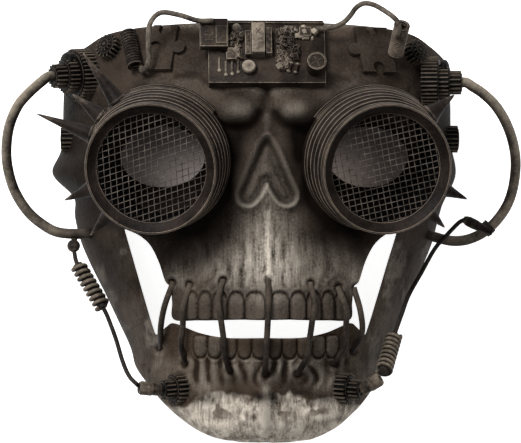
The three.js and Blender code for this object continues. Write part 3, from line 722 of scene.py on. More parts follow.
def rounded(profile: Points, radius: float, steps: int = 3) -> tuple[np.ndarray, np.ndarray]:
    """Closed outline with its corners rounded.

    Args:
        profile: Corners, counter-clockwise.
        radius: Length that a rounding takes from each edge, up to 0.4 of the edge.
        steps: Points on each rounding.

    Returns:
        The points, and 1 on the outward roundings, 0 elsewhere.
    """
    corners = np.array(profile, float)
    points, edge = [], []
    for i, corner in enumerate(corners):
        back, ahead = corners[i - 1] - corner, corners[(i + 1) % len(corners)] - corner
        start, end = (corner + way / np.linalg.norm(way) * min(radius, 0.4 * np.linalg.norm(way))
                      for way in (back, ahead))
        outward = float(ahead[0] * back[1] - ahead[1] * back[0] > 0)
        for k in range(steps + 1):
            t = k / steps
            points.append(start * (1 - t) ** 2 + corner * 2 * t * (1 - t) + end * t * t)
            edge.append(outward * (0 < k < steps))
    return np.array(points), np.array(edge)


def turned(profile: Points, segments: int, radius: float = 0.3, turn: Point | None = None) -> Form:
    """Body of revolution about Z of a closed outline, or a part turn of it.

    Args:
        profile: Radius and level of each corner, counter-clockwise.
        segments: Steps round the axis.
        radius: Rounding of the corners.
        turn: First and last angle in degrees of a part turn.

    Returns:
        The form, with wear at its outward corners.
    """
    rows, edge = rounded(profile, radius)
    count = len(rows)
    angles = np.radians(np.linspace(*(turn or (0.0, 360.0)), segments + 1))
    if turn is None:
        angles = angles[:-1]
    points = np.array([[r * math.cos(a), r * math.sin(a), z] for a in angles for r, z in rows])
    faces: Faces = []
    for ring in range(segments):
        low, high = ring * count, (ring + 1) % len(angles) * count
        faces += [(low + i, high + i, high + (i + 1) % count, low + (i + 1) % count) for i in range(count)]
    if turn is not None:
        faces.append(tuple(range(count)))
        faces.append(tuple(range(segments * count, len(points)))[::-1])
    return Form(points, faces, {"wear": np.tile(edge, len(angles))})


def spun(rows: Points, segments: int, wear: Sequence[float] | None = None) -> Form:
    """Body of revolution about Z whose outline starts and ends on the axis.

    Args:
        rows: Radius and level from the bottom to the top; the first and last radius are 0.
        segments: Steps round the axis.
        wear: Wear at each row.

    Returns:
        The form.
    """
    inner = rows[1:-1]
    angles = np.linspace(0, 2 * math.pi, segments, endpoint=False)
    points = [[0.0, 0.0, rows[0][1]]]
    points += [[r * math.cos(a), r * math.sin(a), z] for r, z in inner for a in angles]
    points.append([0.0, 0.0, rows[-1][1]])
    faces: Faces = []
    for i in range(segments):
        k = (i + 1) % segments
        faces.append((0, 1 + k, 1 + i))
        for row in range(len(inner) - 1):
            low, high = 1 + row * segments, 1 + (row + 1) * segments
            faces.append((low + i, low + k, high + k, high + i))
        top = 1 + (len(inner) - 1) * segments
        faces.append((top + i, top + k, len(points) - 1))
    levels = wear or [0.0] * len(rows)
    values = np.concatenate([[levels[0]], np.repeat(levels[1:-1], segments), [levels[-1]]])
    return Form(np.array(points), faces, {"wear": values})


def ellipsoid(flatness: float, fill: float, rings: int, segments: int, wear: float = 0.0) -> Form:
    """Round body of radius 1 about Z.

    Args:
        flatness: Its half height.
        fill: Share of a quarter turn that the outermost rings reach.
        rings: Rings between the poles.
        segments: Steps round the axis.
        wear: Its wear.

    Returns:
        The form.
    """
    turns = np.linspace(-math.pi / 2 * fill, math.pi / 2 * fill, rings)
    rows = [(0.0, -flatness), *((math.cos(a), flatness * math.sin(a)) for a in turns), (0.0, flatness)]
    return spun(rows, segments, [wear] * len(rows))


def block(size: Sequence[float], bevel: float, centre: Point = (0, 0, 0), face_wear: float = 0.2) -> Form:
    """Box with rounded edges.

    Args:
        size: Its three sizes.
        bevel: Width of the rounding.
        centre: Its middle.
        face_wear: Wear of its flat faces.

    Returns:
        The form, with full wear along its edges.
    """
    mesh = bmesh.new()
    bmesh.ops.create_cube(mesh, size=1.0)
    bmesh.ops.scale(mesh, vec=size, verts=mesh.verts)
    bmesh.ops.bevel(mesh, geom=mesh.edges[:], offset=bevel, segments=2, profile=0.5, affect="EDGES")
    mesh.verts.index_update()
    points = np.array([vert.co[:] for vert in mesh.verts])
    faces = [tuple(vert.index for vert in face.verts) for face in mesh.faces]
    mesh.free()
    on_face = (np.abs(points) > np.array(size) / 2 - 1e-4).any(axis=1)
    return Form(points + np.array(centre, float), faces, {"wear": np.where(on_face, face_wear, 1.0)})


def smooth_route(points: Points, spacing: float) -> np.ndarray:
    """Even points on a smooth curve through some points.

    Args:
        points: The points to pass, flat or in space.
        spacing: Distance between the new points.

    Returns:
        The new points.
    """
    route = np.array(points, float)
    padded = np.vstack([2 * route[0] - route[1], route, 2 * route[-1] - route[-2]])
    fine = []
    for i in range(1, len(padded) - 2):
        a, b, c, d = padded[i - 1:i + 3]
        for t in np.linspace(0, 1, 24, endpoint=False):
            fine.append(0.5 * (2 * b + (c - a) * t + (2 * a - 5 * b + 4 * c - d) * t ** 2
                               + (3 * b - a - 3 * c + d) * t ** 3))
    fine = np.vstack([fine, route[-1]])
    reach = np.concatenate([[0], np.cumsum(np.linalg.norm(np.diff(fine, axis=0), axis=1))])
    even = np.linspace(0, reach[-1], max(4, int(reach[-1] / spacing)))
    return np.stack([np.interp(even, reach, column) for column in fine.T], axis=1)


# Geometry Nodes

FLOAT = "NodeSocketFloat"
WHOLE = "NodeSocketInt"


class Growth(Graph):
    """A Geometry Nodes tree with named inputs that grows a piece from a seed mesh."""

    def __init__(self, name: str, inputs: dict[str, str]) -> None:
        """Makes the tree.

        Args:
            name: Name of the tree.
            inputs: Socket type of each named input.
        """
        super().__init__(bpy.data.node_groups.new(name, "GeometryNodeTree"))
        face = self.tree.interface
        kinds = {"Geometry": "NodeSocketGeometry", "Material": "NodeSocketMaterial", **inputs}
        for key, kind in kinds.items():
            face.new_socket(key, in_out="INPUT", socket_type=kind)
        face.new_socket("Geometry", in_out="OUTPUT", socket_type="NodeSocketGeometry")
        self.inlet = self.node("NodeGroupInput")

    def given(self, *names: str) -> list[Signal]:
        """Some named inputs."""
        return [self.inlet.other(name) for name in names]

    def vector(self, x: Any = 0.0, y: Any = 0.0, z: Any = 0.0) -> Signal:
        """A vector of three values."""
        return self.node("ShaderNodeCombineXYZ", None, {0: x, 1: y, 2: z})

    def here(self) -> tuple[Signal, Signal, Signal]:
        """The three parts of a point's position."""
        x = self.node("ShaderNodeSeparateXYZ", None, {0: self.node("GeometryNodeInputPosition")})
        return x, x.other("Y"), x.other("Z")

    def axis_distance(self) -> Signal:
        """Distance of a point from the Z axis."""
        x, y, _ = self.here()
        return (x * x + y * y) ** 0.5

    def circle(self, resolution: Any, radius: Any) -> Signal:
        """Round curve."""
        sockets = {"Resolution": resolution, "Radius": radius}
        return self.node("GeometryNodeCurvePrimitiveCircle", None, sockets)

    def swept(self, curve: Signal, section: Signal, capped: bool) -> Signal:
        """Mesh of a section carried along a curve."""
        return self.node("GeometryNodeCurveToMesh", None,
                         {"Curve": curve, "Profile Curve": section, "Fill Caps": capped})

    def repeated(self, points: Signal, instance: Signal, **sockets: Any) -> Signal:
        """Copies of an instance on some points."""
        return self.node("GeometryNodeInstanceOnPoints", None,
                         {"Points": points, "Instance": instance, **sockets})

    def worn(self, geometry: Signal, value: Signal) -> Signal:
        """Geometry with its wear kept at its points."""
        return self.node("GeometryNodeStoreNamedAttribute", {"data_type": "FLOAT", "domain": "POINT"},
                         {"Geometry": geometry, "Name": "wear", "Value": value})

    def close(self, *geometry: Signal) -> None:
        """Ends the tree in real geometry with the material set.

        Args:
            *geometry: What the tree gives.
        """
        whole = self.node("GeometryNodeJoinGeometry", None, {0: list(geometry)})
        real = self.node("GeometryNodeRealizeInstances", None, {"Geometry": whole})
        dressed = self.node("GeometryNodeSetMaterial", None,
                            {"Geometry": real, "Material": self.inlet.other("Material")})
        outlet = self.tree.nodes.new("NodeGroupOutput")
        self.fill(outlet.inputs[0], dressed)

    def grown(self, seed: Mesh, material: Material, **values: Any) -> Mesh:
        """Plain mesh that the tree makes of a seed.

        Args:
            seed: Mesh that the tree starts from.
            material: Material of the result.
            **values: Values of the named inputs.

        Returns:
            The mesh.
        """
        holder = linked(seed.name + "_seed", seed)
        modifier = holder.modifiers.new("grow", "NODES")
        modifier.node_group = self.tree
        chosen = {"Material": material, **values}
        for item in self.tree.interface.items_tree:
            if item.in_out == "INPUT" and item.name in chosen:
                modifier[item.identifier] = chosen[item.name]
        mesh = evaluated_mesh(holder)
        bpy.data.objects.remove(holder)
        return mesh

    def form(self, material: Material, **values: Any) -> Form:
        """Form that the tree makes in millimetres about the origin, with its wear.

        Args:
            material: Material of the mesh that it comes from.
            **values: Values of the named inputs.

        Returns:
            The form.
        """
        mesh = self.grown(bpy.data.meshes.new(self.tree.name), material, **values)
        faces = [tuple(face.vertices) for face in mesh.polygons]
        wear = np.zeros(len(mesh.vertices))
        layer = mesh.attributes.get("wear")
        if layer is not None:
            layer.data.foreach_get("value", wear)
        made = Form(vectors(mesh, "co"), faces, {"wear": wear})
        bpy.data.meshes.remove(mesh)
        return made


class TubeGrowth(Growth):
    """Round tube along a line of points."""

    def __init__(self) -> None:
        """Makes the tree."""
        super().__init__("tube_on_route", {"Radius": FLOAT, "Sides": WHOLE})
        line, radius, sides = self.given("Geometry", "Radius", "Sides")
        curve = self.node("GeometryNodeMeshToCurve", None, {0: line})
        sized = self.node("GeometryNodeSetCurveRadius", None, {"Curve": curve, "Radius": 1.0})
        self.close(self.swept(sized, self.circle(sides, radius), True))

    def tube(self, route: np.ndarray, radius: float, material: Material, wear: Any, sides: int) -> Mesh:
        """Tube along a route, in the row frame.

        Args:
            route: Points in millimetres.
            radius: Radius in millimetres.
            material: Its material.
            wear: Wear of the whole tube, or at each point.
            sides: Sides of the tube.

        Returns:
            The mesh.
        """
        count = len(route)
        seed = mesh_of("tube", Form(route, [], {"wear": np.broadcast_to(wear, count)}))
        seed.edges.add(count - 1)
        ends = np.stack([np.arange(count - 1), np.arange(1, count)], axis=1)
        seed.edges.foreach_set("vertices", ends.ravel())
        return self.grown(seed, material, Radius=radius * MM, Sides=sides)


class GearGrowth(Growth):
    """Toothed wheel about Z: a drum with teeth set round it, centred on its origin."""

    def __init__(self, slim_from: float = 0.78, slim_by: float = 0.5, tooth_share: float = 3.3) -> None:
        """Makes the tree.

        Args:
            slim_from: Share of a tooth's width at its middle.
            slim_by: How much of it is lost from the foot to the tip.
            tooth_share: Length along the root circle of all teeth, in radii.
        """
        super().__init__("toothed_wheel", {"Teeth": WHOLE, "Root": FLOAT, "Tip": FLOAT, "Depth": FLOAT})
        count, root, tip, depth = self.given("Teeth", "Root", "Tip", "Depth")
        height = (tip - root) * 2.0
        size = self.vector(height, root * tooth_share / count, depth)
        tooth = self.node("GeometryNodeMeshCube", None, {"Size": size})
        x, y, z = self.here()
        narrowed = self.vector(x, y * (slim_from - x / height * slim_by), z)
        shaped = self.node("GeometryNodeSetPosition", None, {"Geometry": tooth, "Position": narrowed})
        outer = self.worn(shaped, x / height + 0.5)
        ring = self.node("GeometryNodeMeshCircle", None, {"Vertices": count, "Radius": root})
        facing = self.node("FunctionNodeAlignRotationToVector", {"axis": "X", "pivot_axis": "Z"},
                           {"Vector": self.node("GeometryNodeInputPosition")})
        drum = self.node("GeometryNodeMeshCylinder", None, {"Vertices": 48, "Radius": root, "Depth": depth})
        self.close(self.repeated(ring, outer, Rotation=facing), drum)


class CoilGrowth(Growth):
    """Wire wound round Z from its origin upwards."""

    def __init__(self) -> None:
        """Makes the tree."""
        super().__init__("wound_wire", {"Turns": FLOAT, "Radius": FLOAT, "Wire": FLOAT, "Length": FLOAT})
        turns, radius, wire, length = self.given("Turns", "Radius", "Wire", "Length")
        spiral = self.node("GeometryNodeCurveSpiral", None, {
            "Resolution": 20, "Rotations": turns, "Height": length, "Start Radius": radius,
            "End Radius": radius})
        wound = self.swept(spiral, self.circle(10, wire), True)
        self.close(self.worn(wound, ((self.axis_distance() - radius) / wire).step(-0.2, 1.0)))


class RibGrowth(Growth):
    """Rings stacked along Z from its origin upwards."""

    def __init__(self) -> None:
        """Makes the tree."""
        super().__init__("stacked_rings",
                         {"Count": WHOLE, "Radius": FLOAT, "Thickness": FLOAT, "Pitch": FLOAT})
        count, radius, thickness, pitch = self.given("Count", "Radius", "Thickness", "Pitch")
        line = self.node("GeometryNodeMeshLine", {"mode": "OFFSET"},
                         {"Count": count, "Offset": self.vector(z=pitch)})
        ring = self.swept(self.circle(32, radius), self.circle(8, thickness), False)
        rubbed = ((self.axis_distance() - radius) / thickness).step(0.0, 1.0)
        self.close(self.repeated(line, self.worn(ring, rubbed)))


class NetGrowth(Growth):
    """Round woven net in the XY plane: two sets of wires that pass over and under each other."""

    def __init__(self) -> None:
        """Makes the tree."""
        super().__init__("woven_net", {"Count": WHOLE, "Pitch": FLOAT, "Wire": FLOAT, "Radius": FLOAT,
                                       "Weft": FLOAT, "Warp": FLOAT})
        self.close(self.wires("Weft", 0.0), self.wires("Warp", math.pi))

    def wires(self, turn: str, phase: float, wave: float = 0.9) -> Signal:
        """One set of waved wires, turned about Z and trimmed to the net's circle.

        Args:
            turn: Input that holds the angle.
            phase: Phase of the wave.
            wave: Height of the wave, in radii of the wire.

        Returns:
            The wires.
        """
        count, pitch, wire, radius, angle = self.given("Count", "Pitch", "Wire", "Radius", turn)
        half = (count - 1.0) * pitch * 0.5
        starts = self.node("GeometryNodeMeshLine", {"mode": "OFFSET"}, {
            "Count": count, "Start Location": self.vector(y=-half), "Offset": self.vector(y=pitch)})
        span = self.node("GeometryNodeCurvePrimitiveLine", None,
                         {"Start": self.vector(x=-half), "End": self.vector(x=half)})
        laid = self.node("GeometryNodeRealizeInstances", None, {"Geometry": self.repeated(starts, span)})
        dense = self.node("GeometryNodeResampleCurve", None, {"Curve": laid, "Count": 110})
        x, y, _ = self.here()
        swing = self.node("ShaderNodeMath", {"operation": "SINE"}, {0: (x + y) * math.pi / pitch + phase})
        lift = self.vector(z=swing * wire * wave)
        waved = self.node("GeometryNodeSetPosition", None, {"Geometry": dense, "Offset": lift})
        outside = self.node("FunctionNodeCompare", {"data_type": "FLOAT", "operation": "GREATER_THAN"},
                            {0: self.axis_distance(), 1: radius})
        kept = self.node("GeometryNodeDeleteGeometry", {"domain": "POINT"},
                         {"Geometry": waved, "Selection": outside})
        return self.node("GeometryNodeTransform", None, {
            "Geometry": self.swept(kept, self.circle(6, wire), False), "Rotation": self.vector(z=angle)})


# Form of the bone


def rise(value: np.ndarray, low: float, high: float) -> np.ndarray:
    """Smooth rise from 0 at low to 1 at high."""
    t = np.clip((value - low) / (high - low), 0, 1)
    return t * t * (3 - 2 * t)


def bell(value: np.ndarray, spread: float) -> np.ndarray:
    """Bell curve of height 1 about 0."""
    return np.exp(-(value / spread) ** 2)


@dataclass(frozen=True)
class Section:
    """Cut across the bone at a level: half width and height of the rim, height in front, curve."""

    y: float
    half_width: float
    rim_z: float
    front_z: float
    power: float


@dataclass(frozen=True)
class Hill:
    """Raised, sunken, pale or dark place; one with x above zero stands on both sides."""

    x: float
    y: float
    spread_x: float
    spread_y: float
    height: float


Hills = tuple[Hill, ...]


def hills(*rows: Point) -> Hills:
    """Hills of rows of their values."""
    return tuple(Hill(*row) for row in rows)


SECTIONS = tuple(Section(*row) for row in (
    (-109, 14, 60, 72, 0.6), (-106.5, 27, 57, 79, 0.7), (-99.5, 40, 49, 82, 0.85), (-88, 53, 33, 80, 0.95),
    (-75, 61, 13, 80, 1.05), (-60, 68.5, 0, 84, 1.12), (-40, 78, 0, 87, 1.15), (-13, 91, 0, 85, 1.1),
    (8, 97, 0, 82, 1), (24, 104, 0, 79, 0.92), (40, 101.5, 0, 78, 0.88), (60, 101, 0, 80, 0.85),
    (78, 100, 0, 77, 0.85), (92, 97, 0, 70, 0.85), (104, 93, 0, 61, 0.85),
))
RELIEF = hills(
    (12.5, 55, 10, 7, 6), (0, 62, 3, 9, -3), (42, 64, 20, 8, 3), (54, 29, 20, 18, -11), (0, 26, 17, 20, 5),
    (60, -8, 15, 8, 4), (32, -14, 9, 12, -4), (0, -95, 18, 9, 4),
)
NOSE_PIT = Hill(0, 20, 20, 24, -10)


@dataclass(frozen=True)
class BoneForm:
    """Surface that face and jaw are cut out of."""

    relief_hold: float = 1.6
    slope_step: float = 1.5

    def section(self, y: np.ndarray, column: str) -> np.ndarray:
        """Smooth value of one column of the sections at some levels.

        Args:
            y: The levels.
            column: Name of the column.

        Returns:
            The values.
        """
        levels = np.array([row.y for row in SECTIONS])
        values = np.array([getattr(row, column) for row in SECTIONS], float)
        slopes = np.empty_like(values)
        slopes[1:-1] = (values[2:] - values[:-2]) / (levels[2:] - levels[:-2])
        slopes[0] = (values[1] - values[0]) / (levels[1] - levels[0])
        slopes[-1] = (values[-1] - values[-2]) / (levels[-1] - levels[-2])
        at = np.clip(np.asarray(y, float), levels[0], levels[-1])
        i = np.clip(np.searchsorted(levels, at) - 1, 0, len(levels) - 2)
        span = levels[i + 1] - levels[i]
        t = (at - levels[i]) / span
        start = t * (1 - t) ** 2 * span * slopes[i]
        end = t * t * (t - 1) * span * slopes[i + 1]
        return values[i] + (values[i + 1] - values[i]) * rise(t, 0, 1) + start + end

    def relief(self, x: np.ndarray, y: np.ndarray, places: Hills) -> np.ndarray:
        """Summed height of some hills.

        Args:
            x: Places across.
            y: Places along.
            places: The hills.

        Returns:
            The heights.
        """
        total = np.zeros(np.broadcast(x, y).shape)
        for hill in places:
            along = ((y - hill.y) / hill.spread_y) ** 2
            for centre in (hill.x, -hill.x) if hill.x > 0 else (hill.x,):
                total += hill.height * np.exp(-((x - centre) / hill.spread_x) ** 2 - along)
        return total

    def height(self, x: Any, y: Any, inset: float = 0.0, places: Hills = RELIEF) -> np.ndarray:
        """Height of the bone over the surface that the mask lies on.

        Args:
            x: Places across.
            y: Places along.
            inset: How far the surface is moved inwards.
            places: Raised and sunken places.

        Returns:
            The heights.
        """
        x, y = np.asarray(x, float), np.asarray(y, float)
        half_width = self.section(y, "half_width") - inset
        rim = np.maximum(0, self.section(y, "rim_z"))
        facing = np.sqrt(1 - np.minimum(1, np.abs(x) / half_width) ** 2)
        crown = self.section(y, "front_z") - inset - rim
        raised = self.relief(x, y, places) * np.minimum(1, self.relief_hold * facing)
        return rim + crown * facing ** self.section(y, "power") + raised

    def normal(self, x: Any, y: Any) -> np.ndarray:
        """Outward direction of the bone at some places.

        Args:
            x: Places across.
            y: Places along.

        Returns:
            One unit vector for each place.
        """
        x, y, step = np.asarray(x), np.asarray(y), self.slope_step
        slope_x = (self.height(x + step, y) - self.height(x - step, y)) / (2 * step)
        slope_y = (self.height(x, y + step) - self.height(x, y - step)) / (2 * step)
        raw = np.stack(np.broadcast_arrays(-slope_x, -slope_y, 1.0), axis=-1)
        return raw / np.linalg.norm(raw, axis=-1, keepdims=True)

    def over(self, x: float, y: float, lift: float = 0.0) -> np.ndarray:
        """Point at a height over the bone, along its normal."""
        return np.array([x, y, float(self.height(x, y))]) + lift * self.normal(x, y)

    def frame(self, x: float, y: float) -> np.ndarray:
        """Placement on the bone with Z along its normal."""
        return placement(self.over(x, y), self.normal(x, y))


BONE = BoneForm()


@dataclass(frozen=True)
class Raster:
    """Even grid of places over the front, for the fine relief and the paint."""

    low: Point = (-112.0, -114.0)
    high: Point = (112.0, 108.0)
    pitch: float = 0.4

    @property
    def x(self) -> np.ndarray:
        """Places across, as a row."""
        return np.arange(self.low[0], self.high[0], self.pitch)[None, :]

    @property
    def y(self) -> np.ndarray:
        """Places along, as a column."""
        return np.arange(self.low[1], self.high[1], self.pitch)[:, None]

    def noise(self, size_x: float, size_y: float, seed: int) -> np.ndarray:
        """Smooth random field from -1 to 1.

        Args:
            size_x: Size of a lump across.
            size_y: Size of a lump along.
            seed: Seed of the random values.

        Returns:
            The field.
        """
        u, v = (self.x[0] - self.low[0]) / size_x, (self.y[:, 0] - self.low[1]) / size_y
        lattice = np.random.default_rng(seed).uniform(-1, 1, (int(v[-1]) + 2, int(u[-1]) + 2))
        iu, iv = u.astype(int), v.astype(int)
        fu, fv = rise(u - iu, 0, 1), rise(v - iv, 0, 1)[:, None]
        rows = lattice[:, iu] * (1 - fu) + lattice[:, iu + 1] * fu
        return rows[iv] * (1 - fv) + rows[iv + 1] * fv

    def blurred(self, values: np.ndarray, radius: float) -> np.ndarray:
        """Field averaged over a round neighbourhood.

        Args:
            values: The field.
            radius: Spread of the average.

        Returns:
            The new field.
        """
        fy = np.fft.fftfreq(values.shape[0], self.pitch)[:, None]
        fx = np.fft.rfftfreq(values.shape[1], self.pitch)
        kernel = np.exp(-2 * (math.pi * radius) ** 2 * (fx ** 2 + fy ** 2))
        return np.fft.irfft2(np.fft.rfft2(values) * kernel, values.shape)

    def sample(self, values: np.ndarray, x: np.ndarray, y: np.ndarray) -> np.ndarray:
        """Values of a field at some places, between its grid points.

        Args:
            values: The field.
            x: Places across.
            y: Places along.

        Returns:
            The values.
        """
        u = np.clip((x - self.low[0]) / self.pitch, 0, values.shape[1] - 1.001)
        v = np.clip((y - self.low[1]) / self.pitch, 0, values.shape[0] - 1.001)
        iu, iv = u.astype(int), v.astype(int)
        fu, fv = u - iu, v - iv
        low = values[iv, iu] * (1 - fu) + values[iv, iu + 1] * fu
        high = values[iv + 1, iu] * (1 - fu) + values[iv + 1, iu + 1] * fu
        return low * (1 - fv) + high * fv


RASTER = Raster()


def bezier(points: Points, count: int) -> np.ndarray:
    """Points on a cubic curve of four control points, without the last.

    Args:
        points: The control points.
        count: Number of new points.

    Returns:
        The new points.
    """
    a, b, c, d = np.array(points, float)
    t = np.linspace(0, 1, count, endpoint=False)[:, None]
    return a * (1 - t) ** 3 + 3 * b * t * (1 - t) ** 2 + 3 * c * t * t * (1 - t) + d * t ** 3


def distance_to(outline: np.ndarray, closed: bool) -> tuple[np.ndarray, np.ndarray]:
    """Distance of every raster place to an outline.

    Args:
        outline: Its points.
        closed: Whether the last point joins the first.

    Returns:
        The distances, and whether each place lies inside.
    """
    x, y = RASTER.x, RASTER.y
    best = np.full((y.shape[0], x.shape[1]), 1e9)
    inside = np.zeros(best.shape, bool)
    pairs = list(zip(outline, np.roll(outline, -1, axis=0)))
    for (ax, ay), (bx, by) in pairs if closed else pairs[:-1]:
        dx, dy = bx - ax, by - ay
        t = np.clip(((x - ax) * dx + (y - ay) * dy) / (dx * dx + dy * dy + 1e-12), 0, 1)
        best = np.minimum(best, (x - ax - t * dx) ** 2 + (y - ay - t * dy) ** 2)
        if closed and abs(dy) > 1e-9:
            inside ^= ((ay > y) != (by > y)) & (x < dx * (y - ay) / dy + ax)
    return np.sqrt(best), inside


@dataclass(frozen=True)
class ToothRow:
    """Middle level, half height, relief, way of the roots, and place and width of the right teeth."""

    y: float
    half: float
    depth: float
    root: int
    teeth: Points


@dataclass(frozen=True)
class Crease:
    """Ridge, or groove where the height is below zero, along a line on the front."""

    width: float
    height: float
    points: Points


STITCHES = (
    ((-46.4, -29.8), (-47.2, -38), (-48.4, -50), (-52.4, -63.4)),
    ((-38, -30.7), (-38.4, -38), (-38.8, -54), (-39.4, -63), (-40, -70.6)),
    ((-22, -28.6), (-22.8, -34.6), (-21.9, -43.2), (-20.2, -54.6), (-19.2, -64.4), (-18.6, -73.8)),
    ((0.4, -28.6), (0.2, -40), (-0.1, -50), (-0.6, -62), (-0.9, -75.1)),
    ((21.5, -30.1), (21.7, -35.4), (21.2, -43), (19.6, -54), (18.2, -64.4), (15.3, -75.2)),
    ((35.6, -32.2), (36.4, -38), (36.9, -48.4), (36.2, -61), (34, -70.4)),
    ((44.2, -32.8), (43.8, -39.5), (44.7, -50.2), (45, -58.4), (44.1, -64.9)),
)


@dataclass
class BoneSurface:
    """Fine relief, paint zones, painted shade and painted highlights of the bone, worked out on the raster.
    """

    upper: ToothRow = ToothRow(-41.6, 6.9, 1.8, 1,
                               ((5.9, 10.4), (15.2, 8.2), (23.1, 7.4), (30.2, 6.8), (36.6, 6.0)))
    lower: ToothRow = ToothRow(-61.6, 5.6, 1.6, -1,
                               ((3.7, 7.2), (11, 7.2), (18.3, 7.2), (25.5, 7.0), (32.4, 6.6)))
    gum_groove: float = 0.55
    gum_roll: float = 0.35
    nose_curves: Sequence[tuple[int, Points]] = (
        (16, ((0, 42.4), (4.6, 42.0), (9.8, 24), (14.4, 15.8))),
        (8, ((14.4, 15.8), (16.6, 11.4), (13.6, 7.2), (9.2, 7.3))),
        (8, ((9.2, 7.3), (5.8, 7.4), (2.8, 11.5), (0, 17.8))),
    )
    nose_depth: float = 3.8
    nose_pad: float = 2.2
    nose_rim: float = 0.9
    nose_skirt: float = 1.2
    hole_rim: float = 0.25
    hole_depth: float = 1.6
    root_pitch: float = 7.4
    thinnest: float = -1.6
    teeth_calm: float = 0.5
    chin_line: float = -86.2
    chin_width: float = 44.0
    scuff: float = 0.2
    teeth_zone: Hills = hills((0, -41, 60, 8, 1.0), (0, -61, 60, 7, 1.0))
    swells: Hills = hills(
        (14, 55, 9.5, 7, 3.4), (31, 60, 12, 6, 1.6), (70, 20, 9, 22, 1.0), (88, 22, 8, 14, 1.5),
        (0, -99, 22, 5, 1.0), (48, -78, 7, 9, 1.2), (23, 24, 5, 14, -1.4),
    )
    creases: tuple[Crease, ...] = (
        Crease(2.0, -0.6, ((0, 68), (0.2, 62), (0, 54))),
        Crease(2.6, -1.8, ((-34, 53), (-27, 48.6), (-18, 45.4), (-9, 47), (-3.4, 52.5))),
        Crease(2.6, -1.8, ((34, 53), (27, 48.6), (18, 45.4), (9, 47), (3.4, 52.5))),
        Crease(2.2, 1.3, ((0, 52), (0, 46), (0, 42))),
        Crease(1.5, 0.8, ((0.4, 4), (0.6, -10), (0.4, -28))),
        Crease(3.2, 2.2, ((-1.4, -83), (-2, -91), (-1.6, -102))),
        Crease(1.4, -0.25, ((-30, -98), (-20, -96.5), (-9, -99.5))),
        Crease(1.4, -0.25, ((9, -98), (18, -97), (28, -100))),
        Crease(1.8, -0.7, ((-44, 71.5), (-34, 72), (-30, 69), (-22, 66))),
        Crease(1.8, -0.6, ((40, 70), (32, 71.5), (24, 67))),
    )
    # Pale paint zones; the tints on the brow lobe tops and just under the board are painted highlights.
    pale_and_highlight_tints: Hills = hills(
        (0, -12, 2.6, 22, 0.26), (0, -13, 13, 19, 0.34), (0, -23, 30, 11, 0.33), (0, -76, 40, 6, 0.05),
        (0, -104, 34, 5, 0.3), (0, -95, 2.4, 12, 0.55), (44, -26, 5, 7, 0.16), (13, 54, 8, 4.5, 0.09),
        (10, 10, 6, 4, 0.06), (0, 24, 9, 14, 0.08), (0, -41, 24, 6, 0.02), (28, -61, 9, 5, 0.07),
        (0, -70, 34, 4, 0.16), (50, -74, 8, 7, 0.05), (30, -80, 8, 6, 0.16), (72, -22, 9, 22, 0.05),
        (60, -52, 6, 14, 0.1), (0, 97.6, 70, 1.6, 0.16), (44, 66, 14, 6, 0.05), (0, 64, 14, 3, 0.1),
    )
    # Painted shade under the brow, beside the nose, round the goggles, on the flanks, at the jaw corners and
    # beside the chin ridge, mixed with dark stains and darker paint on the gum band and lower teeth.
    shade_and_stain_tints: Hills = hills(
        (54, 27, 26, 26, 1.5), (27, 20, 7, 20, 0.75), (15, 34, 5, 9, 0.85), (21, 19, 5, 10, 0.8),
        (25, 12, 6, 9, 0.6), (0, -78.5, 42, 6, 0.28), (0, -95, 2.6, 8, 0.4), (3.4, -92, 2.2, 6, 0.35),
        (35, -4, 12, 9, 0.75), (46, -13, 8, 10, 0.45), (0, -34.2, 24, 1.8, 0.4), (17, 43.5, 9, 4.6, 0.85),
        (18, -77, 6, 5, 0.35), (42, -84, 8, 5, 0.35), (29, -87.5, 6, 3, 0.7), (4, -86, 4.5, 3, 0.7),
        (16, -84, 7, 2, 0.5), (92, 8, 12, 10, 0.35), (98, 60, 6, 20, 0.3), (10, -60, 14, 5, 0.4),
        (102, 34, 16, 50, 0.75), (76, -28, 13, 30, 0.6), (60, -58, 9, 16, 0.35), (54, -70, 9, 9, 0.3),
        (15, 63, 10, 3.6, 0.28), (76, 80, 10, 9, 0.3), (0, 62, 1.6, 5, 0.2),
    )

    def __post_init__(self) -> None:
        """Works out the fields."""
        self.x, self.y = RASTER.x, RASTER.y
        self.out, self.down = np.abs(self.x), -self.y
        outer = self.teeth() + self.lines() + self.roots() + self.holes() + self.lumps()
        outer = np.maximum(outer + self.tinted(self.swells), self.thinnest)
        nose, nose_line, nose_shade = self.nose()
        fine = outer - RASTER.blurred(outer, 1.4)
        broad = outer - RASTER.blurred(outer, 4.0)
        calm = 1 - self.teeth_calm * self.tinted(self.teeth_zone)
        self.detail = outer + nose
        self.paint = {
            "ridge": np.clip(fine / 0.8 + broad / 2.6, -1.1, 1.1) * calm + nose_line,
            "pale": self.tinted(self.pale_and_highlight_tints) + self.chin() + self.scuffs(),
            # Painted shade and dark stains, with the painted shade in the nose channel.
            "soot": np.clip(self.tinted(self.shade_and_stain_tints) + nose_shade, 0, 1),
        }

    def tinted(self, tints: Hills) -> np.ndarray:
        """Sum of some hills over the raster."""
        return BONE.relief(self.x, self.y, tints)

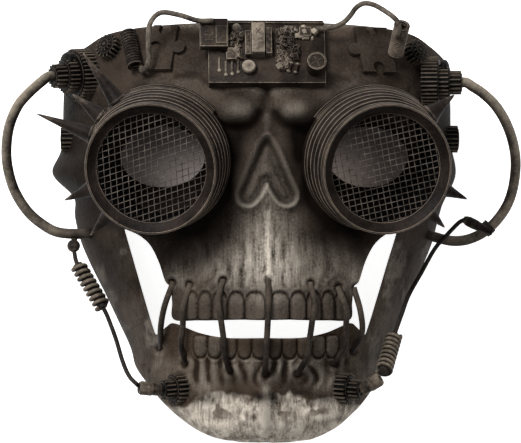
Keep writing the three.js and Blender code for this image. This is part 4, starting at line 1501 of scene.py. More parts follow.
    def teeth(self) -> np.ndarray:
        """Teeth as shields with an arched root end, and a scalloped gum round that end.

        Returns:
            The relief.
        """
        total = np.zeros((self.y.size, self.x.size))
        for row in (self.upper, self.lower):
            v = (self.y - row.y) / row.half * row.root
            arch = np.where(v > -0.1, np.clip((v + 0.1) / 1.1, 0, None) ** 2.2, np.clip(-v, 0, None) ** 9)
            for middle, width in [(sign * x, width) for x, width in row.teeth for sign in (-1, 1)]:
                u = np.abs(self.x - middle) / (width / 2)
                shield = 1 - (u ** 2.6 + arch)
                near = (np.abs(v) < 1.7) & (u < 1.35)
                total += row.depth * np.clip(shield, 0, 1) ** 0.55
                total -= self.gum_groove * bell(shield, 0.26) * near
                total += self.gum_roll * bell(shield + 0.6, 0.35) * near * (v > 0.2)
        return total

    def nose(self) -> tuple[np.ndarray, np.ndarray, np.ndarray]:
        """Spade-shaped nose: a thin raised edge, a channel inside it and a low pad in the middle.

        Returns:
            Its relief, the rubbed line along its edge and the shade in its channel.
        """
        half = np.vstack([bezier(points, count) for count, points in self.nose_curves])
        notch = self.nose_curves[-1][1][-1]
        away, inside = distance_to(np.vstack([half, notch, (half * (-1, 1))[:0:-1]]), True)
        floor = self.nose_pad * rise(away, 2.8, 7.0) - self.nose_depth * rise(away, 0.0, 3.4)
        skirt = np.where(inside, 0, bell(away, 4.0))
        shade = np.where(inside, 0.5 * rise(away, 0.8, 2.0) * (1 - rise(away, 2.8, 5.5)), 0)
        relief = self.nose_rim * bell(away, 1.1) + self.nose_skirt * skirt + np.where(inside, floor, 0)
        return RASTER.blurred(relief, 0.45), 1.6 * bell(away, 1.0) - 0.35 * skirt, shade

    def lines(self) -> np.ndarray:
        """Creases and ridges along lines."""
        return sum(crease.height * bell(distance_to(smooth_route(crease.points, 1.5), False)[0], crease.width)
                   for crease in self.creases)

    def roots(self) -> np.ndarray:
        """Upright ridges where the roots of the teeth show through, and fine strokes beside them.

        Returns:
            The relief.
        """
        fan = self.x / (1 + 0.004 * (self.y + 40))
        wave = np.cos(2 * math.pi * fan / self.root_pitch + RASTER.noise(11, 9, 4) * 4.0)
        wave *= 0.75 + 0.7 * RASTER.noise(8, 10, 13)
        upper = rise(self.y, -34, -29) * (1 - rise(self.y, -16, 2)) * rise(42 - self.out, 0, 8)
        upper = upper * rise(self.out, 3, 8)
        lower = rise(self.down, 66, 69) * (1 - rise(self.down, 76, 84)) * rise(46 - self.out, 0, 8)
        strokes = RASTER.noise(1.5, 15, 5) * rise(self.down, -8, 12) * (1 - rise(self.down, 88, 100))
        return 0.35 * wave * upper + 0.85 * wave * lower + 0.08 * strokes

    def holes(self) -> np.ndarray:
        """Puckered holes where the mouth wires go in.

        Returns:
            The relief.
        """
        total = np.zeros((self.y.size, self.x.size))
        for x, y in [end for route in STITCHES for end in (route[0], route[-1])]:
            away = np.hypot(self.x - x, self.y - y)
            total += self.hole_rim * bell(away - 3.2, 1.2) - self.hole_depth * bell(away, 1.9)
        return total

    def lumps(self) -> np.ndarray:
        """Uneven hand of the sculpting: broad lumps and small pits.

        Returns:
            The relief.
        """
        rough = 0.35 + 0.65 * rise(self.down, 60, 80) + 0.35 * rise(self.out, 60, 90)
        broad = RASTER.noise(16, 14, 1) * 0.5 + RASTER.noise(7, 7, 2) * 0.28
        pits = np.clip(RASTER.noise(2.6, 2.6, 3) - 0.45, 0, 1) * -0.9
        return broad + (RASTER.noise(3.2, 3.6, 6) * 0.24 + pits * rise(self.out, 42, 60)) * rough

    def scuffs(self) -> np.ndarray:
        """Pale scuffs on the side bars and the corners of the jaw."""
        marks = rise(RASTER.noise(6, 11, 15) + 0.4 * RASTER.noise(2, 3, 16), 0.2, 0.8)
        return self.scuff * marks * rise(self.out, 46, 56) * rise(self.down, 2, 16)

    def chin(self) -> np.ndarray:
        """Pale chin with a ragged upper border.

        Returns:
            The paleness.
        """
        ragged = RASTER.noise(9, 7, 8) * 4.5 + RASTER.noise(3, 3, 9) * 1.6
        border = self.chin_line - 4.0 * (self.out / self.chin_width) ** 4
        swirl = 0.6 + 0.3 * RASTER.noise(7, 3.4, 10) + 0.26 * RASTER.noise(2.0, 2.6, 11)
        patches = rise(RASTER.noise(8, 5, 12) + 0.3 * RASTER.noise(2, 2, 14), 0.3, 0.42)
        patches *= 1 - rise(self.down, 93, 99)
        return swirl * (1 - 0.75 * patches) * rise(border - self.y + ragged, -0.8, 1.6)


@dataclass(frozen=True)
class SkullShell:
    """Face and jaw: one walled form, cut along smooth front edges."""

    palette: Palette
    surface: BoneSurface
    wall: float = 2.4
    chin_floor: float = 7.5
    rows: int = 420
    columns: int = 380
    hollow_rows: int = 140
    hollow_columns: int = 120
    front_density: float = 0.8
    side_hold: float = 2.2
    cut_span: Point = (-40.0, 160.0)
    edge_step: float = 1.2
    seam: float = -4.0
    face_corner: float = 70.0
    face_levels: Point = (-52.0, 103.0)
    jaw_levels: Point = (-109.0, 0.0)
    eye: Point = (50.8, 32.0)
    eye_radii: Point = (20.7, 15.0)
    face_edge: Points = (
        (0, -48.2), (12, -48.0), (22, -48.4), (32, -48.6), (43.6, -48.4), (44.4, -40), (45.2, -32.5),
        (47.8, -29.5), (51, -20), (55.2, -11.8), (60.5, -7), (67, -4.0))
    face_top: Points = ((100.5, 77), (94, 83), (86, 88.5), (76, 93.8), (58, 96.8), (30, 98.4), (0, 98.7))
    jaw_edge: Points = (
        (0, -57), (18, -57), (31, -54.8), (43, -50.4), (47, -52.2), (51.6, -56.5), (53.5, -53), (58, -38),
        (62.6, -22), (67.8, -4.0))
    outside: float = 125.0
    edge_shift: float = -1.8
    flank_slim: float = 3.0
    flank_span: Point = (62.0, 97.0)
    bulges: Points = ((25.5, 6.5, 2.6), (12.5, 6.5, -3.4), (-75.0, 7.0, 2.4))
    bulge_from: float = 0.65

    def slimmed(self, x: np.ndarray, y: np.ndarray) -> np.ndarray:
        """How far places move to the left: in on the right flank, out and in on the left one.

        Args:
            x: Places across.
            y: Levels.

        Returns:
            The distances.
        """
        right = self.flank_slim * rise(x, *self.flank_span)
        bulge = sum(amount * bell(y - level, spread) for level, spread, amount in self.bulges)
        return right + bulge * rise(-x / BONE.section(y, "half_width"), self.bulge_from, 1.0)

    def outer(self, bottom: float, top: float) -> Form:
        """Closed form of the bone with its fine relief, between two levels.

        Args:
            bottom: Lowest level.
            top: Highest level.

        Returns:
            The form.
        """
        y = np.linspace(bottom, top, self.rows)[:, None]
        t = np.linspace(-1, 1, self.columns)[None, :]
        angle = math.pi / 2 * (self.front_density * t + (1 - self.front_density) * t ** 3)
        x = BONE.section(y, "half_width") * np.sin(angle)
        y = np.broadcast_to(y, x.shape)
        points = np.stack([x, y, BONE.height(x, y)], axis=-1)
        lift = RASTER.sample(self.surface.detail, x, y) * np.minimum(1, self.side_hold * np.cos(angle))
        points += BONE.normal(x, y) * lift[..., None]
        points[..., 0] -= self.slimmed(x, y)
        return stacked(points)

    def hollow(self, top: float = 112.0, bottom_z: float = -20.0) -> Form:
        """Closed form of the space inside, from the chin's floor to a level and down to a depth.

        Args:
            top: Highest level.
            bottom_z: The depth.

        Returns:
            The form.
        """
        y = np.linspace(SECTIONS[0].y + self.chin_floor, top, self.hollow_rows)[:, None]
        angle = math.pi / 2 * np.linspace(-1, 1, self.hollow_columns)[None, :]
        x = (BONE.section(y, "half_width") - self.wall) * np.sin(angle)
        y = np.broadcast_to(y, x.shape)
        z = BONE.height(x, y, self.wall, (*RELIEF, NOSE_PIT))
        points = np.stack([x - self.slimmed(x, y), y, z], axis=-1)
        low = np.stack([points[:, -1], points[:, 0]], axis=1)
        low[..., 2] = bottom_z
        return stacked(np.concatenate([points, low], axis=1))

    def prism(self, outline: np.ndarray) -> Form:
        """Prism along Z of a counter-clockwise outline."""
        rings = [np.column_stack([outline, np.full(len(outline), level)]) for level in self.cut_span]
        return stacked(np.array(rings))

    def cutter(self, half: np.ndarray) -> Form:
        """Prism of a front outline, given by its right half from the middle round to the middle."""
        mirrored = (half[np.abs(half[:, 0]) > 1e-6] * (-1, 1))[::-1]
        return self.prism(np.vstack([half, mirrored]) + (self.edge_shift, 0))

    def face_cut(self) -> Form:
        """Cutter of the face.

        Returns:
            The form.
        """
        side = ((self.outside, self.seam), (self.outside, self.face_corner))
        edges = [smooth_route(edge, self.edge_step) for edge in (self.face_edge, self.face_top)]
        return self.cutter(np.vstack([edges[0], side, edges[1]]))

    def jaw_cut(self) -> Form:
        """Cutter of the jaw."""
        side = ((self.outside, self.seam), (self.outside, -self.outside), (0, -self.outside))
        return self.cutter(np.vstack([smooth_route(self.jaw_edge, self.edge_step), side])[::-1])

    def eye_cut(self, side: Side) -> Form:
        """Cutter of an eye hole.

        Args:
            side: Side of the eye.

        Returns:
            The form.
        """
        turn = np.linspace(0, 2 * math.pi, 64, endpoint=False)
        x = side.sign * self.eye[0] + self.eye_radii[0] * np.cos(turn)
        return self.prism(np.column_stack([x, self.eye[1] + self.eye_radii[1] * np.sin(turn)]))

    def carved(self, base: Form, kept: Form, *holes: Form) -> Mesh:
        """Mesh of a form after its boolean cuts, with its paint values.

        Args:
            base: The form that is cut.
            kept: What is kept of it.
            *holes: What is taken away.

        Returns:
            The mesh, in the row frame.
        """
        body = linked("bone", mesh_of("bone", base))
        tools = [linked("tool", mesh_of("tool", form)) for form in (kept, *holes)]
        for i, tool in enumerate(tools):
            modifier = body.modifiers.new("cut", "BOOLEAN")
            modifier.operation = "DIFFERENCE" if i else "INTERSECT"
            modifier.object = tool
            modifier.solver = "MANIFOLD"
        mesh = evaluated_mesh(body)
        for helper in (body, *tools):
            bpy.data.objects.remove(helper)
        self.paint(mesh)
        return mesh

    def paint(self, mesh: Mesh) -> None:
        """Keeps the paint values at the points of a cut mesh; the inside stays plain.

        Args:
            mesh: The mesh, in the row frame.
        """
        place = vectors(mesh, "co") / MM - SHIFT
        x, y = place[:, 0] + self.slimmed(place[:, 0], place[:, 1]), place[:, 1]
        inner = (vectors(mesh, "normal") * BONE.normal(x, y)).sum(axis=1) < -0.2
        for key, values in self.surface.paint.items():
            keep(mesh, key, np.where(inner, 0.0, RASTER.sample(values, x, y)))

    def build(self) -> None:
        """Builds and dresses face and jaw."""
        hollow = self.hollow()
        eyes = [self.eye_cut(side) for side in Side]
        face = self.carved(self.outer(*self.face_levels), self.face_cut(), hollow, *eyes)
        piece("skull_face_bone", face, self.palette.bone, Slot.BONE, "skull_face")
        jaw = self.carved(self.outer(*self.jaw_levels), self.jaw_cut(), hollow)
        piece("jaw_bone", jaw, self.palette.jaw, Slot.JAW, "jaw")


# Goggles


@dataclass(frozen=True)
class Spike:
    """Angle round the barrel in degrees, length and base diameter of a spike."""

    angle: float
    length: float
    base: float


@dataclass(frozen=True)
class Goggle:
    """Stepped barrel, front ring, woven net, painted-shade sheet and spikes of one eye."""

    palette: Palette
    growth: NetGrowth
    side: Side
    origin: Point = (57.4, 25.1, 104.0)
    lean: Point = (0.167, -0.197, 0.966)
    segments: int = 128
    barrel_outline: Points = (
        (28.6, -64), (33.4, -64), (33.4, -31), (35.5, -31), (35.5, -25.5), (35.0, -25), (35.0, -22.5),
        (34.2, -22), (34.2, -18.4), (33.2, -18), (33.2, -16.4), (33.7, -16), (33.7, -13), (32.4, -12.6),
        (32.4, -10.8), (32.9, -10.4), (32.9, -8.4), (31.2, -8), (31.2, -6.3), (26.8, -6.3))
    collar_outline: Points = (
        (33, -35), (36.0, -35), (36.5, -34), (36.5, -31.2), (36.0, -30.8), (36.0, -28.8), (35.6, -27.4),
        (35, -26.5), (33, -26.5))
    ring_outline: Points = (
        (28.5, -6), (32.2, -6), (32.2, -4.6), (31.8, -4.3), (31.8, -3.9), (32.3, -3.5), (32.3, -0.9),
        (31.9, 0), (31.2, 0), (30.8, -0.5), (28.6, -2.2), (27.4, -2.9), (26.8, -3.0), (26.8, -4.1),
        (28.5, -4.1))
    collar_turn: Pair = Pair((40, 112), (52, 146))
    bore: float = 28.9
    bore_top: float = -6.0
    spike_level: float = -26.5
    spike_foot: float = 35.8
    spikes: Pair = Pair(
        (Spike(124, 28, 8.6), Spike(142, 17, 8.6), Spike(159, 28.5, 8.6), Spike(203, 16, 8.8),
         Spike(227, 16, 8.8)),
        (Spike(40, 15, 9.6), Spike(-22, 16.5, 9.6), Spike(-42, 15, 9.6)))
    net_level: float = -5.2
    net_radius: float = 27.8
    net_pitch: float = 2.95
    net_wire: float = 0.21
    net_turn: Pair = Pair((18, 92), (14, 103))
    eye: Point = (50.8, 32.0)
    sheet_radii: Point = (22.6, 16.8)
    sheet_inset: float = 3.2
    sheet_rings: int = 14
    sheet_segments: int = 48
    sheet_slack: float = 1.12

    def frame(self) -> np.ndarray:
        """Placement at the middle of the front lip, Z along the barrel."""
        mirror = np.array((self.side.sign, 1, 1))
        return placement(mirror * self.origin, mirror * self.lean)

    def barrel(self) -> Form:
        """Stepped barrel with its arched collar; its bore is painted black as painted shade.

        Returns:
            The form, in the goggle's frame.
        """
        tube = turned(self.barrel_outline, self.segments, 0.35)
        x, y, z = tube.points.T
        # Painted shade: the bore is painted near-black, as the shade inside the tube.
        tube.values["soot"] = ((np.hypot(x, y) < self.bore) & (z < self.bore_top)).astype(float)
        return joined(tube, turned(self.collar_outline, 60, 0.3, self.collar_turn[self.side]))

    def net(self) -> Form:
        """Woven net behind the front ring.

        Returns:
            The form, in the goggle's frame.
        """
        weft, warp = (math.radians(turn) for turn in self.net_turn[self.side])
        count = 2 * int(self.net_radius / self.net_pitch) + 1
        woven = self.growth.form(self.palette.net, Count=count, Pitch=self.net_pitch, Wire=self.net_wire,
                                 Radius=self.net_radius, Weft=weft, Warp=warp)
        return woven.moved(0, 0, self.net_level)

    def spike(self, spike: Spike) -> Form:
        """Cone with a blunt tip and a flared foot, in the goggle's frame.

        Args:
            spike: Its sizes.

        Returns:
            The form.
        """
        half, length = spike.base / 2, spike.length
        rows = ((0, -1.2), (half * 1.12, -1.2), (half * 1.1, 0.2), (half * 0.97, 0.9),
                (half * 0.5, length * 0.5), (half * 0.14, length * 0.92), (half * 0.07, length * 0.985),
                (0, length))
        turn = math.radians(spike.angle)
        x, y = math.cos(turn), math.sin(turn)
        foot = (self.spike_foot * x, self.spike_foot * y, self.spike_level)
        return spun(rows, 28, (0, 0, 0.7, 0.1, 0.15, 0.6, 1, 1)).placed(placement(foot, (x, y, 0.0)))

    def shade_sheet(self) -> Form:
        """Dark sheet across the eye hole, against the inside of the bone, as painted shade.

        Returns:
            The form.
        """
        rings, count = self.sheet_rings, self.sheet_segments
        middle = np.array((self.side.sign * self.eye[0], self.eye[1]))
        turn = 2 * math.pi * np.arange(count) / count
        edge = np.column_stack([np.cos(turn), np.sin(turn)]) * self.sheet_radii
        flat = np.vstack([middle, *(middle + edge * (ring + 1) / rings for ring in range(rings))])
        faces: Faces = [(0, 1 + k, 1 + (k + 1) % count) for k in range(count)]
        for ring in range(rings - 1):
            faces += ring_faces(count, 1 + (ring + 1) * count, 1 + ring * count)
        return Form(np.column_stack([flat, BONE.height(*flat.T, self.sheet_inset)]), faces)

    def build(self) -> None:
        """Builds and dresses the goggle's pieces."""
        place, tag, looks = self.frame(), self.side.value, self.palette
        ring = turned(self.ring_outline, self.segments, 0.3)
        barrel = self.barrel().placed(place)
        piece(f"goggle_barrel_{tag}", barrel, looks.cast, Slot.CAST, f"goggle_base_{tag}")
        piece(f"goggle_lip_{tag}", ring.placed(place), looks.cast, Slot.CAST, f"goggle_ring_{tag}")
        piece(f"goggle_net_{tag}", self.net().placed(place), looks.net, Slot.NET, f"goggle_mesh_{tag}")
        for i, row in enumerate(self.spikes[self.side], start=1):
            spike = self.spike(row).placed(place)
            piece(f"goggle_spike_{tag}_{i}", spike, looks.spike, Slot.CAST, f"spike_{tag}_{i}")
        # Sheet behind the eye hole that paints the shade inside the mask.
        sheet = piece(f"eye_gauze_{tag}", self.shade_sheet(), looks.shade_sheet[self.side], Slot.CAST)


# Gears


@dataclass(frozen=True)
class Wheel:
    """Teeth, root and tip radius and the two levels of a toothed wheel."""

    teeth: int
    root: float
    tip: float
    start: float
    end: float


@dataclass(frozen=True)
class Gears:
    """Gear stack on the temple and the gears on forehead, side and jaw, of one side."""

    palette: Palette
    growth: GearGrowth
    side: Side
    large: Wheel = Wheel(38, 11.6, 13.2, -2, 6)
    mid: Wheel = Wheel(24, 7.4, 8.8, 6.3, 11.3)
    small: Wheel = Wheel(15, 4.7, 6.0, 10.5, 17.3)
    forehead: Wheel = Wheel(16, 5.0, 6.3, -1.5, 5)
    forehead_hub: Wheel = Wheel(10, 2.6, 3.4, 4.8, 6.2)
    flank: Wheel = Wheel(18, 5.6, 6.9, -3, 4.5)
    jaw_flange: Wheel = Wheel(20, 6.4, 7.8, -2, 4)
    jaw_pinion: Wheel = Wheel(13, 3.9, 5.0, 3, 9.5)
    jaw_at: Point = (40.5, -82.6)
    jaw_shift: float = -2.0
    jaw_lean: Point = (0.865, -0.05, 0.5)
    flank_at: Pair = Pair((-97.0, 42, 22), (95.5, 42, 22))
    stack_at: Pair = Pair(((-90.2, 73.6, 40), (-0.866, -0.07, 0.495)), ((81.7, 69.6, 48), (0.985, 0, 0.17)))
    forehead_at: Pair = Pair((-76, 86), (74.1, 83.6))
    dome_radius: float = 5.4
    dome_at: Point = (0, 6.2, 9.0)

    def stack_frame(self) -> np.ndarray:
        """Placement of the temple stack."""
        return placement(*self.stack_at[self.side])

    def jaw_frame(self) -> np.ndarray:
        """Placement of the gear pair on the jaw.

        Returns:
            The placement.
        """
        sign = self.side.sign
        x, y = sign * self.jaw_at[0] + self.jaw_shift, self.jaw_at[1]
        return placement(BONE.over(x, y), np.array((sign, 1, 1)) * self.jaw_lean)

    def wheel(self, wheel: Wheel) -> Form:
        """Wheel between its levels, with a raised rim ring and a hub on its outer face.

        Args:
            wheel: Its sizes.

        Returns:
            The form.
        """
        root, end = wheel.root, wheel.end
        body = self.growth.form(self.palette.gear, Teeth=wheel.teeth, Root=root, Tip=wheel.tip,
                                Depth=end - wheel.start)
        rim = turned(((root * 0.72, end - 0.2), (root * 0.98, end - 0.2), (root * 0.98, end + 0.45),
                      (root * 0.72, end + 0.45)), 40, 0.2)
        hub = spun(((0, end - 0.2), (root * 0.36, end - 0.2), (root * 0.34, end + 0.6), (0, end + 0.7)), 20,
                   (0, 0, 0.8, 0.5))
        return joined(body.moved(0, 0, (wheel.start + end) / 2), rim, hub)

    def dome(self) -> Form:
        """Domed disc above the middle wheel.

        Returns:
            The form.
        """
        form = ellipsoid(0.5, 0.94, 12, 36)
        form.points *= self.dome_radius
        return form.moved(*self.dome_at)

    def build(self) -> None:
        """Builds and dresses the gears of the side."""
        stack = self.stack_frame()
        flank = placement(self.flank_at[self.side], (self.side.sign, 0, 0))
        gears = {
            "temple_gear_large": (stack, (self.large,)),
            "temple_gear_hub": (stack, (self.mid, self.small)),
            "forehead_gear": (BONE.frame(*self.forehead_at[self.side]), (self.forehead, self.forehead_hub)),
            "side_gear": (flank, (self.flank,)),
            "jaw_gear": (self.jaw_frame(), (self.jaw_flange, self.jaw_pinion)),
        }
        for key, (where, wheels) in gears.items():
            forms = [self.wheel(wheel) for wheel in wheels]
            if self.mid in wheels:
                forms.append(self.dome())
            node = f"{key}_{self.side.value}"
            piece(f"{node}_cast", joined(*forms).placed(where), self.palette.gear, Slot.GEAR, node)


# Hoses, wires and springs


@dataclass(frozen=True)
class Hoses:
    """The two bowed hoses, and what is lashed to or hangs under them."""

    palette: Palette
    tubes: TubeGrowth
    ribs: RibGrowth
    radius: float = 2.6
    exits: Point = (16.5, 20.0)
    routes: Pair = Pair(
        ((-111.5, 69.2, 50.2), (-117.1, 64.3, 48), (-122.7, 57.9, 46), (-127.1, 48, 42.5), (-128.8, 37, 38),
         (-128.2, 27, 35), (-125.1, 16, 32), (-119.0, 5.8, 30), (-111.6, -1, 28.5), (-102.5, -5.6, 28),
         (-87.1, -6.4, 28)),
        ((103.9, 68, 50.8), (109.9, 64.2, 49.6), (116.7, 57.8, 48), (122.4, 49, 45), (126.3, 39, 41),
         (128.0, 28.5, 37), (127.0, 15.9, 32), (123.1, 5.8, 30), (115.4, -3.5, 28.5), (106.4, -8.6, 28),
         (97.2, -9.9, 28), (86.9, -7.6, 28), (80.9, -5, 28)))
    # Side of each hose that is painted pale: rubbed wear and a painted highlight on the side towards the
    # light.
    lit_and_rubbed_side: Point = (0.7, 0.45, 0.55)
    rub_and_highlight_base: float = 0.2
    rub_and_highlight_gain: float = 0.75
    dark_end: float = 0.03
    wrap_at: Point = (114.5, -3.5, 28.5)
    wrap_along: Point = (-0.72, -0.69, -0.05)
    wrap_turns: int = 5
    wrap_pitch: float = 0.98
    plug_from: Point = (116.4, -5.8, 34.6)
    plug_to: Point = (101.7, 1.3, 34.6)
    ball_at: Point = (-95.3, -12.3, 28)
    ball_lean: Point = (0.1, 1, 0)
    ball_radius: float = 3.3

    def hose(self, side: Side, stack: np.ndarray) -> None:
        """Builds and dresses one hose.

        Args:
            side: Its side.
            stack: Placement of the temple stack that it leaves.
        """
        starts = [carried(stack, (0, 0, along)) for along in self.exits]
        route = smooth_route([*starts, *self.routes[side]], 1.6)
        mesh = self.tubes.tube(route, self.radius, self.palette.hose, 0.0, 28)
        self.rub_and_highlight(mesh, side)
        piece(f"hose_rubber_{side.value}", mesh, self.palette.hose, Slot.HOSE, f"hose_{side.value}")

    def rub_and_highlight(self, mesh: Mesh, side: Side) -> None:
        """Pales the outer, upper side of a hose as rubbed wear and painted highlight, and leaves the rest and
        its lower end dark.

        Args:
            mesh: The hose.
            side: Its side.
        """
        out = vectors(mesh, "normal") @ (np.array((side.sign, 1, 1)) * self.lit_and_rubbed_side)
        end = (np.array(self.routes[side][-1]) + SHIFT) * MM
        away = np.linalg.norm(vectors(mesh, "co") - end, axis=1)
        # Painted highlight and rubbed wear on the outer upper side, darker towards the lower end.
        keep(mesh, "wear", (self.rub_and_highlight_base + self.rub_and_highlight_gain * out) * rise(away, 0.0, self.dark_end))

    def lashing(self) -> None:
        """Builds the lashed plug and its wrapping."""
        start, along = np.array(self.plug_from), np.subtract(self.plug_to, self.plug_from)
        length = float(np.linalg.norm(along))
        rows = ((0, 0), (1.5, 0), (1.7, 0.5), (1.8, length * 0.34), (2.3, length * 0.46), (2.6, length * 0.6),
                (2.6, length * 0.8), (2.2, length * 0.92), (1.4, length), (0, length))
        bottle = spun(rows, 28, (0.2, 0.6, 0.4, 0.1, 0.3, 0.4, 0.3, 0.6, 0.4, 0.2))
        plug = bottle.placed(placement(start, along))
        piece("hose_plug_cast", plug, self.palette.spike, Slot.CAST, "hose_plug")
        turns = self.ribs.form(self.palette.wire, Count=self.wrap_turns, Radius=3.35, Thickness=0.55,
                               Pitch=self.wrap_pitch)
        middle = turns.moved(0, 0, self.wrap_pitch * (1 - self.wrap_turns) / 2)
        wrap = middle.placed(placement(self.wrap_at, self.wrap_along))
        piece("hose_wrap_thread", wrap, self.palette.wire, Slot.WIRE, "hose_wrap")

    def ball(self) -> None:
        """Builds the ball under the left hose, with a ring round its neck."""
        bead = ellipsoid(1.0, 0.95, 20, 36, 0.5)
        bead.points *= self.ball_radius
        eye = turned(((0.9, 3.0), (1.6, 3.0), (1.6, 3.7), (0.9, 3.7)), 24, 0.2)
        ball = joined(bead, eye).placed(placement(self.ball_at, self.ball_lean))
        piece("hanging_ball_bead", ball, self.palette.tip, Slot.CAST, "hanging_ball")

    def build(self, stacks: dict[Side, np.ndarray]) -> None:
        """Builds hoses, plug, wrapping and ball.

        Args:
            stacks: Placement of each side's temple stack.
        """
        for side in Side:
            self.hose(side, stacks[side])
        self.lashing()
        self.ball()


@dataclass(frozen=True)
class JawWires:
    """Wires, springs and connectors between the hoses and the jaw's gears."""

    palette: Palette
    tubes: TubeGrowth
    coils: CoilGrowth
    radius: float = 1.1
    wear: float = 0.4
    turns: float = 8.5
    coil_radius: float = 3.3
    coil_wire: float = 1.05
    core_radius: float = 2.5
    core_past: float = 0.4
    left_top: Points = ((-95, -15, 28.4), (-94.4, -18.6, 29.6), (-93.5, -21.5, 30.8))
    left_bottom: Points = (
        (-80.2, -43.5, 39.2), (-78, -48, 41.4), (-74, -58.5, 47), (-70.6, -69.5, 55), (-67.4, -76.4, 63),
        (-63.2, -80.6, 69.6))
    right: Points = (
        (102.4, 0.9, 34.6), (99.4, -0.6, 34.6), (93.2, -6.9, 35), (86.8, -14, 37), (79.6, -26, 41),
        (73, -37, 45), (69, -47, 48), (65.4, -56.5, 49.5))
    springs: Pair = Pair(((-93.2, -22, 31), (-80.5, -43, 39)), ((65.2, -57.1, 50), (58.8, -74.2, 65.5)))
    connector_clear: Pair = Pair(1.6, 1.0)
    connector_lean: Pair = Pair((-0.945, 0.12, 0.3), (0.8, 0.52, 0.3))
    connector_radius: float = 3.4
    connector_length: float = 11.0

    def wire(self, name: str, points: Points) -> None:
        """Builds one wire through some points."""
        mesh = self.tubes.tube(smooth_route(points, 1.0), self.radius, self.palette.wire, self.wear, 14)
        piece(f"lower_wire_sheath_{name}", mesh, self.palette.wire, Slot.WIRE, f"lower_wire_{name}")

    def spring(self, side: Side) -> None:
        """Builds one spring over its core wire.

        Args:
            side: Its side.
        """
        start, end = (np.array(point, float) for point in self.springs[side])
        length = float(np.linalg.norm(end - start))
        coil = self.coils.form(self.palette.spring, Turns=self.turns, Radius=self.coil_radius,
                               Wire=self.coil_wire, Length=length)
        core, low, high = self.core_radius, -self.core_past, length + self.core_past
        wound = joined(coil, spun(((0, low), (core, low), (core, high), (0, high)), 20))
        form = wound.placed(placement(start, end - start))
        piece(f"lower_spring_coil_{side.value}", form, self.palette.spring, Slot.WIRE,
              f"lower_spring_{side.value}")

    def connector(self, side: Side, jaw: np.ndarray, pinion_end: float) -> None:
        """Builds one connector: a sleeve with a stepped collar.

        Args:
            side: Its side.
            jaw: Placement of the jaw's gear pair.
            pinion_end: Level of the pinion's outer face there.
        """
        tip = carried(jaw, (0, 0, pinion_end + self.connector_clear[side]))
        r, length = self.connector_radius, self.connector_length
        rows = ((0, 0), (r * 0.86, 0), (r * 0.9, 0.5), (r * 0.9, 4.2), (r, 4.6), (r * 1.02, length - 1),
                (r * 0.85, length), (r * 0.45, length), (r * 0.4, length - 1.2), (0, length - 1.2))
        sleeve = spun(rows, 32, (0, 0.5, 0.5, 0.3, 0.9, 0.9, 1, 0.6, 0, 0))
        form = sleeve.placed(placement(tip, self.connector_lean[side]))
        piece(f"lower_connector_sleeve_{side.value}", form, self.palette.tip, Slot.WIRE,
              f"lower_connector_{side.value}")

    def build(self, jaws: dict[Side, np.ndarray], pinion_end: float) -> None:
        """Builds wires, springs and connectors.

        Args:
            jaws: Placement of each side's jaw gears.
            pinion_end: Level of the pinion's outer face there.
        """
        for name in ("left_top", "left_bottom", "right"):
            self.wire(name, getattr(self, name))
        for side in Side:
            self.spring(side)
            self.connector(side, jaws[side], pinion_end)


@dataclass(frozen=True)
class MouthStitches:
    """Wires that cross the open mouth, close over bone and teeth."""

    palette: Palette
    tubes: TubeGrowth
    radius: float = 1.5
    end_lift: float = -1.4
    bone_lift: float = 1.6
    teeth_lift: float = 3.9
    band_top: float = -35.0
    band_bottom: float = -68.0
    band_fade: float = 14.0
    wear: Point = (0.75, 0.15)

    def lift(self, y: np.ndarray) -> np.ndarray:
        """Height of a wire's middle over the bone at some levels.

        Args:
            y: The levels.

        Returns:
            The heights.
        """
        middle = (self.band_top + self.band_bottom) / 2
        outside = np.maximum(0, np.abs(y - middle) - (self.band_top - middle))
        share = np.maximum(0, 1 - outside / self.band_fade)
        return self.bone_lift + (self.teeth_lift - self.bone_lift) * share

    def route(self, points: Points) -> np.ndarray:
        """Route of one wire over the bone, its ends dipped into their holes.

        Args:
            points: Places on the front that it passes.

        Returns:
            Points of the route.
        """
        flat = smooth_route(points, 7.5)
        lift = self.lift(flat[:, 1])
        lift[0] = lift[-1] = self.end_lift
        return smooth_route([BONE.over(x, y, height) for (x, y), height in zip(flat, lift)], 0.7)

    def build(self) -> None:
        """Builds and dresses the wires."""
        for i, points in enumerate(STITCHES, start=1):
            route = self.route(points)
            wear = np.linspace(*self.wear, len(route))
            mesh = self.tubes.tube(route, self.radius, self.palette.stitch, wear, 18)
            piece(f"mouth_stitch_{i}", mesh, self.palette.stitch, Slot.WIRE, f"stitch_{i}")


# Forehead


@dataclass(frozen=True)
class Part:
    """Soldered component: middle, size and height over the plate."""

    x: float
    y: float
    width: float
    height: float
    rise: float


